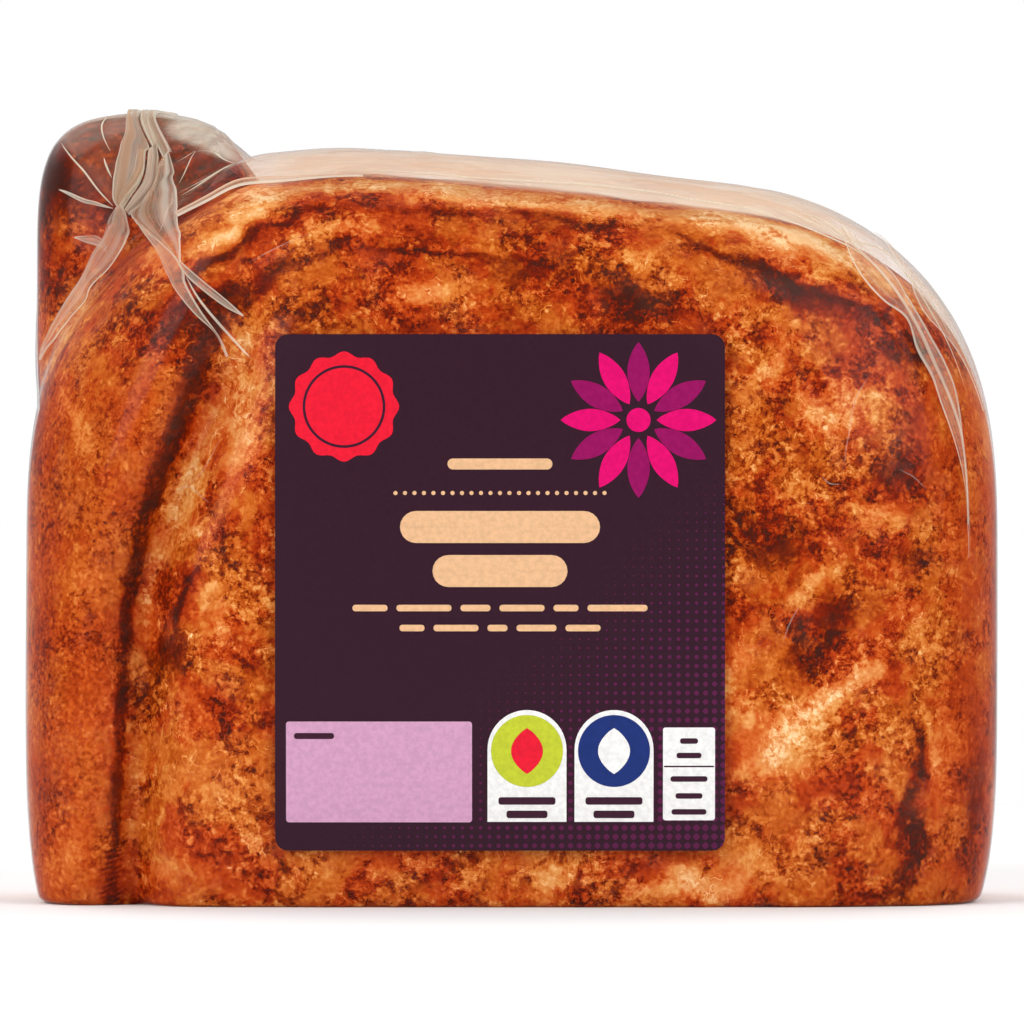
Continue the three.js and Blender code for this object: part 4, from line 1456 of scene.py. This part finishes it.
def paint_paper(paint):
    point = place(paint)
    x, z = part(point, "X"), part(point, "Z")
    turn = math.pi / DOT_PITCH / 2
    rows = ((x + z) * turn).maths("SINE") * ((x - z) * turn).maths("SINE")
    reach = fade(x * DOT_SLOPE - z * DOT_SLOPE + DOT_START, 0.1, 1.0)
    dots = fade(rows + reach * DOT_GROWTH, *DOT_EDGE)
    fibre = spots(point, *FIBRES)
    colour = blend(dots * DOT_INK, PLUM, PLUM_DOT)
    colour = blend((fibre - 0.5) * FIBRE_INK + FIBRE_LEAST, colour, PLUM_FIBRE)
    relief = bumped(fibre, *PAPER_RELIEF)
    finish_skin(paint, colour, PAPER_ROUGH + (fibre - 0.5) * ROUGH_CHANGE, PRINT_SHINE, relief)


def paint_ink(paint, colour):
    mottle = spots(place(paint), *MOTTLES)
    darker = tuple(v * MOTTLE_DARK for v in colour)
    mottled = blend(fade(mottle, *MOTTLE_LIMITS), darker, colour)
    relief = bumped(mottle, *INK_RELIEF)
    finish_skin(paint, mottled, INK_ROUGH + (mottle - 0.5) * ROUGH_CHANGE, PRINT_SHINE, relief)


INKS = {
    "gold": screen(222, 176, 134),
    "magenta": screen(142, 14, 88),
    "pink": screen(214, 8, 104),
    "lilac": screen(200, 150, 182),
    "red": screen(222, 26, 50),
    "white": screen(232, 232, 230),
    "plum": screen(58, 26, 44),
    "lime": screen(186, 196, 50),
    "blue": screen(28, 48, 112),
}
paint_paper(new_paint("plum_paper"))
for ink, colour in INKS.items():
    paint_ink(new_paint(ink + "_ink"), colour)
print("inks:", len(INKS))

# %% [markdown]
# The design is plain and worded nowhere: a rosette of petals, a wavy seal, bars where a name
# would stand, a lilac panel for a date, two tags and a small table.

# %% Layout of the label
PAPER_LIFT, INK_LIFT = 0.62, 0.04  # how far paper and ink stand off the film
x0 = (LABEL_LOW.x + LABEL_HIGH.x) / 2
ROSETTE, SEAL = (25.3, 97.8, 15.6), (-33.6, 100.5, 10.6)  # x, z and radius
PETALS, PETAL_START, PETAL_WIDTH, HUB = 12, 3.6, 4.5, 2.4
SEAL_RING = (0.78, 0.73)  # the ring's two radii, as shares of the seal's
TAGS = [(3.0, "lime", "red"), (20.4, "blue", "white")]
TABLE = (35.4, 27, 10.4, 18.6)  # x, z, width and height
DOT_ROW, DOTS_ASIDE, DOT_STEP = 83.2, 11, 1.9
WORDS = [[7, 11, 6, 9, 5, 12], [5, 9, 4, 8, 7]]  # the lengths of the bars in two rows
WORD_ROW, ROW_STEP, WORD_GAP = 60.2, 4, 1.8
TAG_FOOT, TAG_DISC = 17.4, 31.6

fields = {ink: [] for ink in INKS}


def add(ink, outline, layer=1, rings=4):
    """Notes a field of one ink; higher layers lie on lower ones."""
    fields[ink].append((outline, PAPER_LIFT + INK_LIFT * layer, rings))


def bar(x, z, width, height=1.5, corner=0.5):
    """A dark bar, in place of a line of small print."""
    add("plum", oblong(x, z, width, height, corner), 2, 2)


for i in range(PETALS):
    leaf = petal(*ROSETTE[:2], 360 / PETALS * i, PETAL_START, ROSETTE[2], PETAL_WIDTH)
    add("magenta" if i % 2 else "pink", leaf)
add("pink", wavy_disc(*ROSETTE[:2], HUB), rings=2)
add("red", wavy_disc(*SEAL, waves=12, depth=0.45))
add("plum", wavy_disc(*SEAL[:2], SEAL[2] * SEAL_RING[0]), 2)
add("red", wavy_disc(*SEAL[:2], SEAL[2] * SEAL_RING[1]), 3)
for width, height, z in [(21, 2.2, 89), (40, 6.4, 76.4), (27, 6.4, 67.6)]:
    add("gold", oblong(x0, z, width, height, height / 2))
for i in range(-DOTS_ASIDE, DOTS_ASIDE + 1):
    add("gold", wavy_disc(x0 + DOT_STEP * i, DOT_ROW, 0.42, steps=16), rings=1)
for row, words in enumerate(WORDS):
    x = x0 - (sum(words) + WORD_GAP * (len(words) - 1)) / 2
    for width in words:
        add("gold", oblong(x + width / 2, WORD_ROW - ROW_STEP * row, width, 1.3, 0.6), rings=2)
        x += width + WORD_GAP
add("lilac", oblong(-26.6, 27.4, 37.2, 20.2, 0.6))
bar(-39.6, 34.6, 8, 1.2)
for x, disc, centre in TAGS:
    add("white", arch(x, TAG_FOOT, *TAG_SIZE))
    add(disc, wavy_disc(x, TAG_DISC, 7.2), 2)
    add(centre, petal(x, TAG_DISC, 90, -4.6, 4.6, 6.4), 3)
    bar(x, 21.6, 11.4)
    bar(x, 18.9, 8.2)
add("white", oblong(*TABLE, 0.5))
for z, width in [(33.6, 3.6), (30.7, 5), (26, 7.4), (22.6, 5.4), (19.4, 7)]:
    bar(TABLE[0], z, width, 1.1)
bar(TABLE[0], 28.5, TABLE[2] - 0.4, 0.3, 0.1)
print("fields:", sum(len(listed) for listed in fields.values()))

# %% [markdown]
# All fields of one ink become one mesh, so that a colour is changed in one place. They lie a few
# hundredths of a millimetre apart, which is enough to keep their faces from flickering.

# %% Print
for ink, listed in fields.items():
    made = [filled(*field) for field in listed]
    starts = np.cumsum([0] + [len(points) for points, _ in made])
    faces = [[v + int(n) for v in face] for (_, quads), n in zip(made, starts) for face in quads]
    points = np.concatenate([points for points, _ in made])
    make_piece(ink + "_print", points, faces, ink + "_ink", "label")

# %% [markdown]
# The paper is one more field, the largest, with a rim: a band of faces that runs from its front
# edge back towards the film, so that the sheet has a thickness where it is seen from the side.

# %% The label's paper
LABEL_CORNER, LABEL_BACK = 2.5, 0.4
z0 = (LABEL_LOW.z + LABEL_HIGH.z) / 2
edge = oblong(x0, z0, LABEL_HIGH.x - LABEL_LOW.x, LABEL_HIGH.z - LABEL_LOW.z, LABEL_CORNER)
paper_points, paper_faces = filled(edge, PAPER_LIFT, 24)
n = len(edge)
front_rim = paper_points[-n:]
back_rim = front_rim + [0, PAPER_LIFT - LABEL_BACK, 0]
rim = len(paper_points) + np.arange(n)
paper_faces += np.stack([rim, rim + n, np.roll(rim, -1) + n, np.roll(rim, -1)], -1).tolist()
paper_points = np.vstack([paper_points, front_rim, back_rim])
make_piece("label_sheet", paper_points, paper_faces, "plum_paper", "label")
